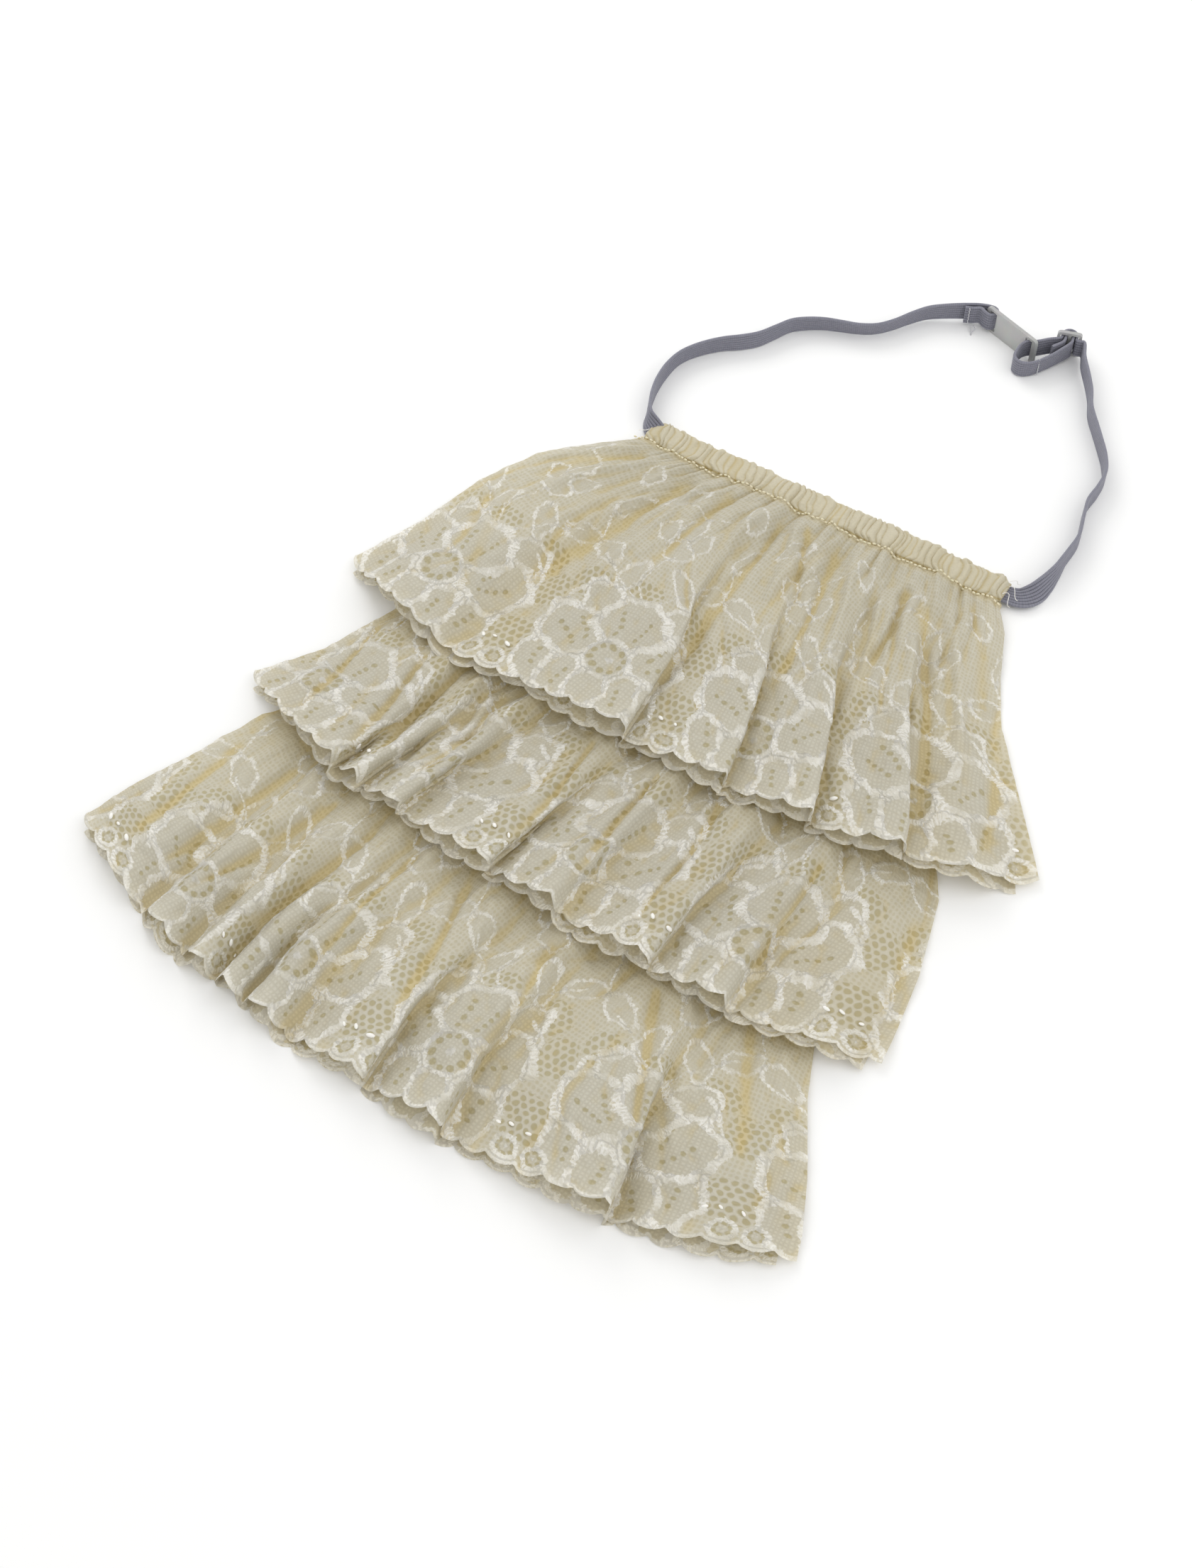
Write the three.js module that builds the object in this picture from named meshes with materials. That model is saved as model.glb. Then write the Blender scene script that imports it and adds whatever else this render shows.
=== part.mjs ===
// A lace jabot laid flat: a gathered neckband, three overlapping lace frills sewn
// to a plain back panel, and an elastic neck strap with a plastic hook and slider.
// Millimetres. X runs along the neckband, Y towards the strap, Z up. The origin is
// on the surface, under the middle of the neckband.

import * as THREE from 'three';

// ---- driving dimensions ----------------------------------------------------

const LACE = 1.2;              // thickness of a lace wall

const BAND = {
  length: 150,                 // neckband, end to end
  depth: 12.4,                 // front to back
  middleY: -3,
  height: 4.9,
  ruches: 25,                  // small gathers along the band
  ruche: 0.7,                  // how far a ruche stands out
  channelDepth: 8.8,           // tunnel that the elastic runs into
  channelHeight: 1.8,
  channelFloor: 1.4,
};

const BACK = {
  top: -10.2,                  // next to the neckband
  bottom: -165,
  halfTop: 73,
  halfBottom: 93,
  thick: 1.0,
  steps: 8,
};

const ELASTIC = { wide: 8.2, thick: 1.0, span: 3 };

const FITTING = {
  high: 11,                    // hook and slider, standing on edge
  thick: 1.5,
  slotHigh: 8.9,
};

const HOOK = { x: 17.2, y: 116.8, turn: -19.7, length: 26.8, bar: 2, slot: 3.4 };

const SLIDER = { x: 38.3, y: 124.3, turn: 18, length: 9.6, bar: 1.2, slot: 3.0 };

// ---- the three frills ------------------------------------------------------
// outline: one row for each section down the frill. v runs from 0 at the seam to
//   1 at the hem, left and right are the side edges, sag is how far the middle
//   of the section hangs below its ends.
// folds: one row for each fold, left to right, read along the hem. The cloth is
//   down at low, up at rise (height up), still up at fall (height high), and the
//   next row's low lies under that edge where the fold laps over.
// bed: what the frill lies on, with the height and the half widths at each y.

const FRILLS = [
  {
    name: 'tier_top',
    colour: '#d9d3b8',
    seamHeight: 2.4,
    hemHeight: 9,
    heightPower: 1.1,
    foldFrom: 0.12,
    foldFull: 0.7,
    round: 4,
    gathers: { count: 26, high: 0.85, reach: 0.3 },
    strips: [0, 0.06, 0.14, 0.24, 0.38, 0.54, 0.7, 0.86, 1],
    columns: 120,
    outline: [
      { v: 0.0, leftX: -77, leftY: -10.2, rightX: 76, rightY: -10.2, sag: 0 },
      { v: 0.12, leftX: -88, leftY: -17, rightX: 83, rightY: -20, sag: 4 },
      { v: 0.3, leftX: -105, leftY: -35, rightX: 91, rightY: -39, sag: 9 },
      { v: 0.5, leftX: -115, leftY: -57, rightX: 101, rightY: -58, sag: 14 },
      { v: 0.75, leftX: -121, leftY: -87, rightX: 119, rightY: -81, sag: 20 },
      { v: 1.0, leftX: -131, leftY: -115, rightX: 139, rightY: -107, sag: 26 },
    ],
    folds: [
      { low: -131, rise: -116, up: 0.55, fall: -88, high: 0.7 },
      { low: -74, rise: -52, up: 0.5, fall: 1, high: 1.05 },
      { low: -3, rise: 10, up: 0.35, fall: 39, high: 0.9 },
      { low: 35, rise: 52, up: 0.6, fall: 70, high: 1.05 },
      { low: 66, rise: 80, up: 0.4, fall: 101, high: 1.05 },
      { low: 98, rise: 114, up: 0.25, fall: 126, high: 0.45 },
    ],
    ends: { leftUp: 0.15, rightX: 139, rightUp: 0.1 },
    bed: [
      { y: -9, z: 1.3, left: -74, right: 74 },
      { y: -70, z: 5.4, left: -86, right: 86 },
      { y: -137, z: 10.7, left: -107, right: 117 },
    ],
  },
  {
    name: 'tier_middle',
    colour: '#d5ceb2',
    seamHeight: 2.4,
    hemHeight: 9,
    heightPower: 1.6,
    foldFrom: 0.4,
    foldFull: 0.85,
    round: 4,
    gathers: { count: 20, high: 0.5, reach: 0.25 },
    strips: [0, 0.12, 0.3, 0.46, 0.62, 0.76, 0.89, 1],
    columns: 108,
    outline: [
      { v: 0.0, leftX: -84, leftY: -80, rightX: 84, rightY: -80, sag: 0 },
      { v: 0.45, leftX: -105, leftY: -128, rightX: 115, rightY: -131, sag: 5 },
      { v: 0.7, leftX: -114, leftY: -155, rightX: 123, rightY: -160, sag: 10 },
      { v: 1.0, leftX: -128, leftY: -177, rightX: 128, rightY: -192, sag: 19 },
    ],
    folds: [
      { low: -128, rise: -115, up: 0.55, fall: -77, high: 0.9 },
      { low: -79, rise: -72, up: 0.45, fall: -65, high: 0.9 },
      { low: -67, rise: -58, up: 0.45, fall: -47, high: 1.05 },
      { low: -50, rise: -38, up: 0.4, fall: -9, high: 0.95 },
      { low: -13, rise: -2, up: 0.4, fall: 16, high: 1.05 },
      { low: 17, rise: 40, up: 0.85, fall: 53, high: 1.05 },
      { low: 51, rise: 60, up: 0.4, fall: 79, high: 0.95 },
      { low: 80, rise: 98, up: 0.2, fall: 116, high: 0.2 },
    ],
    ends: { leftUp: 0.2, rightX: 128, rightUp: 0.05 },
    bed: [
      { y: -80, z: 1.4, left: -83, right: 83 },
      { y: -150, z: 5.5, left: -93, right: 93 },
      { y: -207, z: 6.7, left: -114, right: 112 },
    ],
  },
  {
    name: 'tier_bottom',
    colour: '#d2cbae',
    seamHeight: 2.4,
    hemHeight: 11.5,
    heightPower: 1.7,
    foldFrom: 0.3,
    foldFull: 0.8,
    round: 3,
    gathers: { count: 20, high: 0.5, reach: 0.25 },
    strips: [0, 0.12, 0.28, 0.42, 0.57, 0.72, 0.87, 1],
    columns: 117,
    outline: [
      { v: 0.0, leftX: -92, leftY: -160, rightX: 92, rightY: -160, sag: 0 },
      { v: 0.3, leftX: -115, leftY: -190, rightX: 107, rightY: -198, sag: 4 },
      { v: 0.5, leftX: -122, leftY: -212, rightX: 115, rightY: -217, sag: 10 },
      { v: 0.75, leftX: -132, leftY: -236, rightX: 128, rightY: -240, sag: 16 },
      { v: 1.0, leftX: -137, leftY: -255, rightX: 138, rightY: -262, sag: 26 },
    ],
    folds: [
      { low: -137, rise: -128, up: 0.6, fall: -108, high: 0.7 },
      { low: -99, rise: -91, up: 0.8, fall: -84, high: 0.95 },
      { low: -78, rise: -71, up: 0.85, fall: -65, high: 1.05 },
      { low: -63, rise: -58, up: 0.7, fall: -52, high: 0.85 },
      { low: -50, rise: -45, up: 0.8, fall: -38, high: 1.0 },
      { low: -33, rise: -22, up: 0.4, fall: 1, high: 0.95 },
      { low: -2, rise: 9, up: 0.45, fall: 29, high: 1.05 },
      { low: 28, rise: 44, up: 0.4, fall: 87, high: 1.05 },
      { low: 83, rise: 97, up: 0.4, fall: 126, high: 0.55 },
    ],
    ends: { leftUp: 0.15, rightX: 138, rightUp: 0.1 },
    bed: [
      { y: -160, z: 1.4, left: -92, right: 92 },
      { y: -167, z: 1.4, left: -93, right: 93 },
      { y: -186, z: 0, left: -104, right: 104 },
    ],
  },
];

const SCALLOP = { columns: 3, deep: 2.2 };

// ---- the elastic's route ---------------------------------------------------
// x, y, z: the middle of the tape, or, on a fitting, along its plate and off its
// face. tilt: 0 stands the tape on edge, 90 lays it flat.

const LEFT_ROUTE = [
  { x: -66, y: -3, z: 2.3, tilt: 90 },
  { x: -71, y: -3, z: 2.3, tilt: 90 },
  { x: -76.2, y: -2.8, z: 2.3, tilt: 90 },
  { x: -79.8, y: -0.4, z: 2.9, tilt: 72 },
  { x: -82, y: 4.4, z: 3.9, tilt: 46 },
  { x: -83.8, y: 11, z: 4.2, tilt: 20 },
  { x: -85.3, y: 18.5, z: 4.2, tilt: 5 },
  { x: -86.4, y: 27, z: 4.2, tilt: 2 },
  { x: -86, y: 35, z: 4.2, tilt: 6 },
  { x: -83.8, y: 41, z: 4.2, tilt: 8 },
  { x: -79.8, y: 47.2, z: 4.2, tilt: 7 },
  { x: -75.4, y: 52.2, z: 4.2, tilt: 6 },
  { x: -70.2, y: 56.6, z: 4.2, tilt: 2 },
  { x: -65.4, y: 61.8, z: 4.2, tilt: 2 },
  { x: -61.8, y: 68.8, z: 4.2, tilt: 4 },
  { x: -58.4, y: 75.7, z: 4.2, tilt: 9 },
  { x: -53.3, y: 80.3, z: 4.2, tilt: 11 },
  { x: -47.7, y: 83.7, z: 4.2, tilt: 14 },
  { x: -41.3, y: 86.2, z: 4.2, tilt: 17 },
  { x: -35.1, y: 88.6, z: 4.15, tilt: 20 },
  { x: -29.5, y: 92.2, z: 4.15, tilt: 20 },
  { x: -25, y: 97.8, z: 4.2, tilt: 17 },
  { x: -21, y: 104.8, z: 4.3, tilt: 13 },
  { x: -16.6, y: 111, z: 4.5, tilt: 10 },
  { x: -10.9, y: 115.3, z: 4.9, tilt: 6 },
  { x: -4.4, y: 119.2, z: 5.3, tilt: 2 },
  { x: 0.8, y: 121.9, z: 5.5, tilt: 0 },
  { on: HOOK, along: -13.6, off: 2.0, z: 5.5, tilt: 0 },
  { on: HOOK, along: -11.4, off: 2.5, z: 5.5, tilt: 0 },
  { on: HOOK, along: -9.8, off: 1.3, z: 5.5, tilt: 0 },
  { on: HOOK, along: -9.7, off: -0.4, z: 5.5, tilt: 0 },
  { on: HOOK, along: -10.6, off: -1.9, z: 5.5, tilt: 0 },
  { on: HOOK, along: -12.8, off: -2.2, z: 5.5, tilt: 0 },
  { on: HOOK, along: -15.6, off: -2.0, z: 5.5, tilt: 0 },
  { x: -0.6, y: 118.7, z: 5.4, tilt: 0 },
  { x: -3.6, y: 117.4, z: 5.3, tilt: 2 },
];

const RIGHT_ROUTE = [
  { x: 66, y: -3, z: 2.3, tilt: -90 },
  { x: 71, y: -3, z: 2.3, tilt: -90 },
  { x: 76.6, y: -3, z: 2.3, tilt: -90 },
  { x: 80.8, y: -2, z: 2.8, tilt: -78 },
  { x: 84, y: 1.4, z: 3.6, tilt: -58 },
  { x: 85.6, y: 7, z: 4.2, tilt: -34 },
  { x: 86.2, y: 14, z: 4.3, tilt: -14 },
  { x: 86, y: 22, z: 4.2, tilt: -2 },
  { x: 86, y: 32.4, z: 4.2, tilt: 0 },
  { x: 83.4, y: 42, z: 4.2, tilt: 0 },
  { x: 81.2, y: 50.5, z: 4.2, tilt: 0 },
  { x: 81.4, y: 58.6, z: 4.2, tilt: 0 },
  { x: 80.6, y: 67, z: 4.2, tilt: 0 },
  { x: 77.2, y: 74.2, z: 4.2, tilt: 0 },
  { x: 72.4, y: 81, z: 4.2, tilt: 0 },
  { x: 67.4, y: 87.6, z: 4.2, tilt: 0 },
  { x: 61.6, y: 95.4, z: 4.2, tilt: 0 },
  { x: 57.7, y: 103.4, z: 4.4, tilt: 0 },
  { x: 53.4, y: 110, z: 4.8, tilt: 0 },
  { x: 48, y: 117.6, z: 5.3, tilt: 0 },
  { on: SLIDER, along: 5.8, off: -1.8, z: 5.5, tilt: 0 },
  { on: SLIDER, along: 4.2, off: -1.85, z: 5.5, tilt: 0 },
  { on: SLIDER, along: 3.0, off: -1.5, z: 5.5, tilt: 0 },
  { on: SLIDER, along: 2.8, off: -0.2, z: 5.5, tilt: 0 },
  { on: SLIDER, along: 2.6, off: 1.6, z: 5.5, tilt: 0 },
  { on: SLIDER, along: 1.5, off: 3.1, z: 5.5, tilt: 0 },
  { on: SLIDER, along: 0, off: 3.6, z: 5.5, tilt: 0 },
  { on: SLIDER, along: -1.5, off: 3.1, z: 5.5, tilt: 0 },
  { on: SLIDER, along: -2.6, off: 1.6, z: 5.5, tilt: 0 },
  { on: SLIDER, along: -2.8, off: -0.2, z: 5.5, tilt: 0 },
  { on: SLIDER, along: -3.1, off: -1.5, z: 5.5, tilt: 0 },
  { on: SLIDER, along: -4.3, off: -2.2, z: 5.5, tilt: 0 },
  { x: 32.4, y: 118.8, z: 5.5, tilt: 0 },
  { on: HOOK, along: 11.4, off: 1.9, z: 5.5, tilt: 0 },
  { on: HOOK, along: 9.8, off: 0.3, z: 5.5, tilt: 0 },
  { on: HOOK, along: 8.8, off: -3, z: 5.2, tilt: 0 },
  { x: 24.1, y: 107.4, z: 4.6, tilt: 0 },
  { x: 25, y: 103.8, z: 4.3, tilt: 2 },
  { x: 28, y: 102.6, z: 4.2, tilt: 6 },
  { x: 31.4, y: 104.4, z: 4.2, tilt: 8 },
  { x: 35.2, y: 110, z: 4.5, tilt: 8 },
  { x: 38.6, y: 117, z: 5.1, tilt: 4 },
  { on: SLIDER, along: 1.2, off: -3.0, z: 5.5, tilt: 0 },
  { on: SLIDER, along: 1.35, off: -1.4, z: 5.5, tilt: 0 },
  { on: SLIDER, along: 1.4, off: 0, z: 5.5, tilt: 0 },
  { on: SLIDER, along: 1.2, off: 1.3, z: 5.5, tilt: 0 },
  { on: SLIDER, along: 0, off: 1.8, z: 5.5, tilt: 0 },
  { on: SLIDER, along: -1.2, off: 1.3, z: 5.5, tilt: 0 },
  { on: SLIDER, along: -1.4, off: 0, z: 5.5, tilt: 0 },
  { on: SLIDER, along: -1.45, off: -1.4, z: 5.5, tilt: 0 },
  { on: SLIDER, along: -2.0, off: -3.6, z: 5.5, tilt: 0 },
  { x: 35, y: 115.4, z: 5.4, tilt: 0 },
];

// ---- numbers ---------------------------------------------------------------

const lerp = (a, b, t) => a + (b - a) * t;

const clamp01 = (t) => Math.min(1, Math.max(0, t));

const smooth = (from, to, t) => {
  const k = clamp01((t - from) / (to - from));
  return k * k * (3 - 2 * k);
};

// a table's columns at one value of its key, straight between the rows
function row(table, key, at) {
  const rising = table[1][key] > table[0][key];
  let i = 0;
  while (i < table.length - 2 && (rising ? at > table[i + 1][key] : at < table[i + 1][key])) {
    i += 1;
  }
  const a = table[i];
  const b = table[i + 1];
  const k = clamp01((at - a[key]) / (b[key] - a[key]));
  const out = {};
  for (const name of Object.keys(a)) {
    out[name] = lerp(a[name], b[name], k);
  }
  return out;
}

// ---- a frill ---------------------------------------------------------------

// the corners of the hem's wave, from the fold table
function hemCorners(frill) {
  const corners = [];
  frill.folds.forEach((fold, i) => {
    const last = i > 0 ? frill.folds[i - 1] : null;
    if (last) {
      corners.push([fold.low, 0]);
      corners.push([lerp(fold.low, fold.rise, 0.25), 0]);
    } else {
      corners.push([fold.low, frill.ends.leftUp]);
    }
    corners.push([fold.rise, fold.up]);
    corners.push([fold.fall - 3, fold.high]);
    corners.push([fold.fall, fold.high * 0.85]);
  });
  corners.push([frill.ends.rightX, frill.ends.rightUp]);
  return corners;
}

// the hem as a soft curve that the corners pull on: x, height share, length share
function hemCurve(frill) {
  const corners = hemCorners(frill);
  const n = corners.length;
  const first = [0, 1].map((k) => 2 * corners[0][k] - corners[1][k]);
  const last = [0, 1].map((k) => 2 * corners[n - 1][k] - corners[n - 2][k]);
  const pulls = [first, ...corners, last];
  const perSpan = 12;
  const points = [];
  for (let i = 0; i < n - 1; i += 1) {
    for (let j = 0; j < perSpan + (i === n - 2 ? 1 : 0); j += 1) {
      const t = j / perSpan;
      const w = [(1 - t) ** 3, 3 * t ** 3 - 6 * t * t + 4, -3 * t ** 3 + 3 * t * t + 3 * t + 1, t ** 3];
      const at = [0, 1].map((k) => w.reduce((sum, wk, m) => sum + wk * pulls[i + m][k], 0) / 6);
      points.push({ x: at[0], up: at[1], run: 0 });
    }
  }
  for (let i = 1; i < points.length; i += 1) {
    const dx = points[i].x - points[i - 1].x;
    const dz = (points[i].up - points[i - 1].up) * frill.hemHeight;
    points[i].run = points[i - 1].run + Math.hypot(dx, dz);
  }
  return points;
}

// where the cloth lies: the layer under it, fading to the surface at the sides
function bedHeight(frill, x, y, leftX, rightX) {
  const bed = row(frill.bed, 'y', y);
  const fade = 12;
  const rightFade = 1 - smooth(bed.right + 1, Math.max(bed.right + fade, rightX - 1), x);
  const leftFade = 1 - smooth(-bed.left + 1, Math.max(-bed.left + fade, -leftX - 1), -x);
  return bed.z * Math.min(rightFade, leftFade);
}

// the middle of the cloth: share runs along the hem, v from the seam to the hem
function frillPoint(frill, curve, share, v) {
  const length = curve[curve.length - 1].run;
  const at = row(curve, 'run', share * length);
  const hem = frill.outline[frill.outline.length - 1];
  const section = row(frill.outline, 'v', v);
  const folded = (at.x - hem.leftX) / (hem.rightX - hem.leftX);
  const across = lerp(share, folded, smooth(frill.foldFrom, frill.foldFull, v));
  const s = 2 * across - 1;
  const x = lerp(section.leftX, section.rightX, across);
  const hang = section.sag * (1 - Math.abs(s) ** frill.round);
  const y = lerp(section.leftY, section.rightY, across) - hang;
  const height = lerp(frill.seamHeight, frill.hemHeight, v ** frill.heightPower);
  const { count, high, reach } = frill.gathers;
  const gather = high * (1 - smooth(0, reach, v)) * (1 + Math.sin(2 * Math.PI * count * share));
  const z = bedHeight(frill, x, y, section.leftX, section.rightX) + at.up * height + gather;
  return new THREE.Vector3(x, y, z + LACE / 2);
}

// a closed wall round a grid of middle points, grid[i][j]
function wall(grid, thick) {
  const rows = grid.length;
  const cols = grid[0].length;
  const offset = (i, j) => {
    const across = grid[i][Math.min(j + 1, cols - 1)].clone().sub(grid[i][Math.max(j - 1, 0)]);
    const down = grid[Math.min(i + 1, rows - 1)][j].clone().sub(grid[Math.max(i - 1, 0)][j]);
    return across.cross(down).normalize().multiplyScalar(-thick / 2);
  };
  const points = [];
  grid.forEach((line, i) => line.forEach((p, j) => points.push(p.clone().add(offset(i, j)))));
  grid.forEach((line, i) => line.forEach((p, j) => points.push(p.clone().sub(offset(i, j)))));
  const over = (i, j) => i * cols + j;
  const under = (i, j) => rows * cols + i * cols + j;
  const faces = [];
  const quad = (a, b, c, d) => faces.push(a, b, c, a, c, d);
  for (let i = 0; i < rows - 1; i += 1) {
    for (let j = 0; j < cols - 1; j += 1) {
      quad(over(i, j), over(i + 1, j), over(i + 1, j + 1), over(i, j + 1));
      quad(under(i, j), under(i, j + 1), under(i + 1, j + 1), under(i + 1, j));
    }
  }
  for (let j = 0; j < cols - 1; j += 1) {
    quad(over(0, j), over(0, j + 1), under(0, j + 1), under(0, j));
    quad(over(rows - 1, j + 1), over(rows - 1, j), under(rows - 1, j), under(rows - 1, j + 1));
  }
  for (let i = 0; i < rows - 1; i += 1) {
    quad(over(i + 1, 0), over(i, 0), under(i, 0), under(i + 1, 0));
    quad(over(i, cols - 1), over(i + 1, cols - 1), under(i + 1, cols - 1), under(i, cols - 1));
  }
  return solid(points, faces);
}

function solid(points, faces) {
  const geometry = new THREE.BufferGeometry();
  geometry.setAttribute('position', new THREE.Float32BufferAttribute(points.flatMap((p) => [p.x, p.y, p.z]), 3));
  geometry.setIndex(faces);
  return geometry;
}

function frillGeometry(frill) {
  const curve = hemCurve(frill);
  const grid = frill.strips.map((v, i) => {
    const line = [];
    for (let j = 0; j <= frill.columns; j += 1) {
      const point = frillPoint(frill, curve, j / frill.columns, v);
      if (i === frill.strips.length - 1 && j % SCALLOP.columns !== 0) {
        point.y -= SCALLOP.deep;
      }
      line.push(point);
    }
    return line;
  });
  grid.forEach((line) => line.forEach((p) => {
    p.z = Math.max(p.z, LACE / 2);
  }));
  return wall(grid, LACE);
}

// ---- neckband, back panel, elastic and fittings ----------------------------

// a tube of cloth with a flat underside, ruched along its length
function bandGeometry() {
  const perRuche = 3;
  const stations = BAND.ruches * perRuche;
  const round = 10;
  const { depth, height, middleY, ruche } = BAND;
  const points = [];
  for (let i = 0; i <= stations; i += 1) {
    const x = lerp(-BAND.length / 2, BAND.length / 2, i / stations);
    const swell = i % perRuche === 0 ? -0.5 : 0.5;
    const half = depth / 2 + (ruche / 2) * (swell + 0.5);
    const top = height + ruche * swell;
    for (let k = 0; k < round; k += 1) {
      const turn = (k / (round - 1)) * Math.PI;
      const y = middleY + half * Math.sign(Math.cos(turn)) * Math.sqrt(Math.abs(Math.cos(turn)));
      const z = k === 0 || k === round - 1 ? 0 : lerp(0.6, top, Math.sqrt(Math.sin(turn)));
      points.push(new THREE.Vector3(x, y, z));
    }
    const inY = BAND.channelDepth / 2;
    const floor = BAND.channelFloor;
    const roof = floor + BAND.channelHeight;
    points.push(new THREE.Vector3(x, middleY + inY, floor));
    points.push(new THREE.Vector3(x, middleY + inY, roof));
    points.push(new THREE.Vector3(x, middleY - inY, roof));
    points.push(new THREE.Vector3(x, middleY - inY, floor));
  }
  const ring = round + 4;
  const outer = (i, k) => i * ring + (k % round);
  const inner = (i, k) => i * ring + round + (k % 4);
  const faces = [];
  const quad = (a, b, c, d) => faces.push(a, b, c, a, c, d);
  for (let i = 0; i < stations; i += 1) {
    for (let k = 0; k < round; k += 1) {
      quad(outer(i, k), outer(i, k + 1), outer(i + 1, k + 1), outer(i + 1, k));
    }
    for (let k = 0; k < 4; k += 1) {
      quad(inner(i, k), inner(i + 1, k), inner(i + 1, k + 1), inner(i, k + 1));
    }
  }
  const cap = (i, flip) => {
    const outline = points.slice(i * ring, i * ring + round).map((p) => new THREE.Vector2(p.y, p.z));
    const hole = points.slice(i * ring + round, (i + 1) * ring).map((p) => new THREE.Vector2(p.y, p.z));
    const both = [...outline, ...hole];
    for (const [a, b, c] of THREE.ShapeUtils.triangulateShape(outline, [hole])) {
      const turns = THREE.ShapeUtils.area([both[a], both[b], both[c]]) > 0;
      const at = (turns !== flip ? [a, b, c] : [a, c, b]).map((k) => i * ring + k);
      faces.push(...at);
    }
  };
  cap(0, true);
  cap(stations, false);
  return solid(points, faces);
}

function backGeometry() {
  const across = 6;
  const grid = [];
  for (let i = 0; i <= BACK.steps; i += 1) {
    const t = i / BACK.steps;
    const half = lerp(BACK.halfTop, BACK.halfBottom, t);
    const line = [];
    for (let j = 0; j <= across; j += 1) {
      line.push(new THREE.Vector3(lerp(-half, half, j / across), lerp(BACK.top, BACK.bottom, t), BACK.thick / 2));
    }
    grid.push(line);
  }
  return wall(grid, BACK.thick);
}

// a route row's place, on the surface or on a fitting
function routePoint(at) {
  if (!at.on) {
    return new THREE.Vector3(at.x, at.y, at.z);
  }
  const turn = THREE.MathUtils.degToRad(at.on.turn);
  const local = new THREE.Vector3(at.along, at.off, at.z);
  return local.applyAxisAngle(new THREE.Vector3(0, 0, 1), turn).add(new THREE.Vector3(at.on.x, at.on.y, 0));
}

// a flat tape swept along a route, turned by tilt about its own length
function tapeGeometry(route) {
  const path = new THREE.CatmullRomCurve3(route.map(routePoint), false, 'centripetal');
  const stations = (route.length - 1) * ELASTIC.span;
  const points = [];
  for (let i = 0; i <= stations; i += 1) {
    const t = i / stations;
    const middle = path.getPoint(t);
    const along = path.getTangent(t);
    const place = t * (route.length - 1);
    const k = Math.min(Math.floor(place), route.length - 2);
    const tilt = THREE.MathUtils.degToRad(lerp(route[k].tilt, route[k + 1].tilt, place - k));
    const side = new THREE.Vector3(along.y, -along.x, 0).normalize();
    const up = new THREE.Vector3(0, 0, Math.cos(tilt)).addScaledVector(side, Math.sin(tilt)).normalize();
    const out = new THREE.Vector3().crossVectors(along, up).normalize();
    for (const [a, b] of [[-1, -1], [-1, 1], [1, 1], [1, -1]]) {
      const corner = middle.clone().addScaledVector(out, a * ELASTIC.thick / 2);
      points.push(corner.addScaledVector(up, b * ELASTIC.wide / 2));
    }
  }
  const at = (i, k) => i * 4 + (k % 4);
  const faces = [];
  for (let i = 0; i < stations; i += 1) {
    for (let k = 0; k < 4; k += 1) {
      faces.push(at(i, k), at(i, k + 1), at(i + 1, k + 1), at(i, k), at(i + 1, k + 1), at(i + 1, k));
    }
  }
  faces.push(0, 2, 1, 0, 3, 2);
  const end = stations * 4;
  faces.push(end, end + 1, end + 2, end, end + 2, end + 3);
  return solid(points, faces);
}

// an upright rectangle with rounded corners, from middle - wide / 2, low to high
function rounded(outline, middle, wide, low, high, corner) {
  const left = middle - wide / 2;
  const right = middle + wide / 2;
  outline.moveTo(left + corner, low);
  outline.lineTo(right - corner, low);
  outline.quadraticCurveTo(right, low, right, low + corner);
  outline.lineTo(right, high - corner);
  outline.quadraticCurveTo(right, high, right - corner, high);
  outline.lineTo(left + corner, high);
  outline.quadraticCurveTo(left, high, left, high - corner);
  outline.lineTo(left, low + corner);
  outline.quadraticCurveTo(left, low, left + corner, low);
  return outline;
}

function slotHole(middle, wide) {
  const low = (FITTING.high - FITTING.slotHigh) / 2;
  return rounded(new THREE.Path(), middle, wide, low, FITTING.high - low, 0.5);
}

// the slider: a small frame with a middle bar
function sliderShape() {
  const shape = rounded(new THREE.Shape(), 0, SLIDER.length, 0, FITTING.high, 1.6);
  const middle = (SLIDER.bar + SLIDER.slot) / 2;
  shape.holes.push(slotHole(-middle, SLIDER.slot), slotHole(middle, SLIDER.slot));
  return shape;
}

// the hook: a plate with a closed slot at one end and, at the other, a slot that
// is open at the foot of its bar so that the loop slips in
function hookShape() {
  const x = HOOK.length / 2;
  const low = (FITTING.high - FITTING.slotHigh) / 2;
  const inner = x - HOOK.bar - HOOK.slot;
  const corner = 1.6;
  const shape = new THREE.Shape();
  shape.moveTo(-x + corner, 0);
  shape.lineTo(inner - 1, 0);
  shape.quadraticCurveTo(inner, 0, inner, 1);
  shape.lineTo(inner, FITTING.high - low);
  shape.lineTo(x - HOOK.bar, FITTING.high - low);
  shape.lineTo(x - HOOK.bar, 0.8);
  shape.quadraticCurveTo(x - HOOK.bar, 0, x - HOOK.bar / 2, 0);
  shape.quadraticCurveTo(x, 0, x, 0.8);
  shape.lineTo(x, FITTING.high - corner);
  shape.quadraticCurveTo(x, FITTING.high, x - corner, FITTING.high);
  shape.lineTo(-x + corner, FITTING.high);
  shape.quadraticCurveTo(-x, FITTING.high, -x, FITTING.high - corner);
  shape.lineTo(-x, corner);
  shape.quadraticCurveTo(-x, 0, -x + corner, 0);
  shape.holes.push(slotHole(-x + HOOK.bar + HOOK.slot / 2, HOOK.slot));
  return shape;
}

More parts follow.
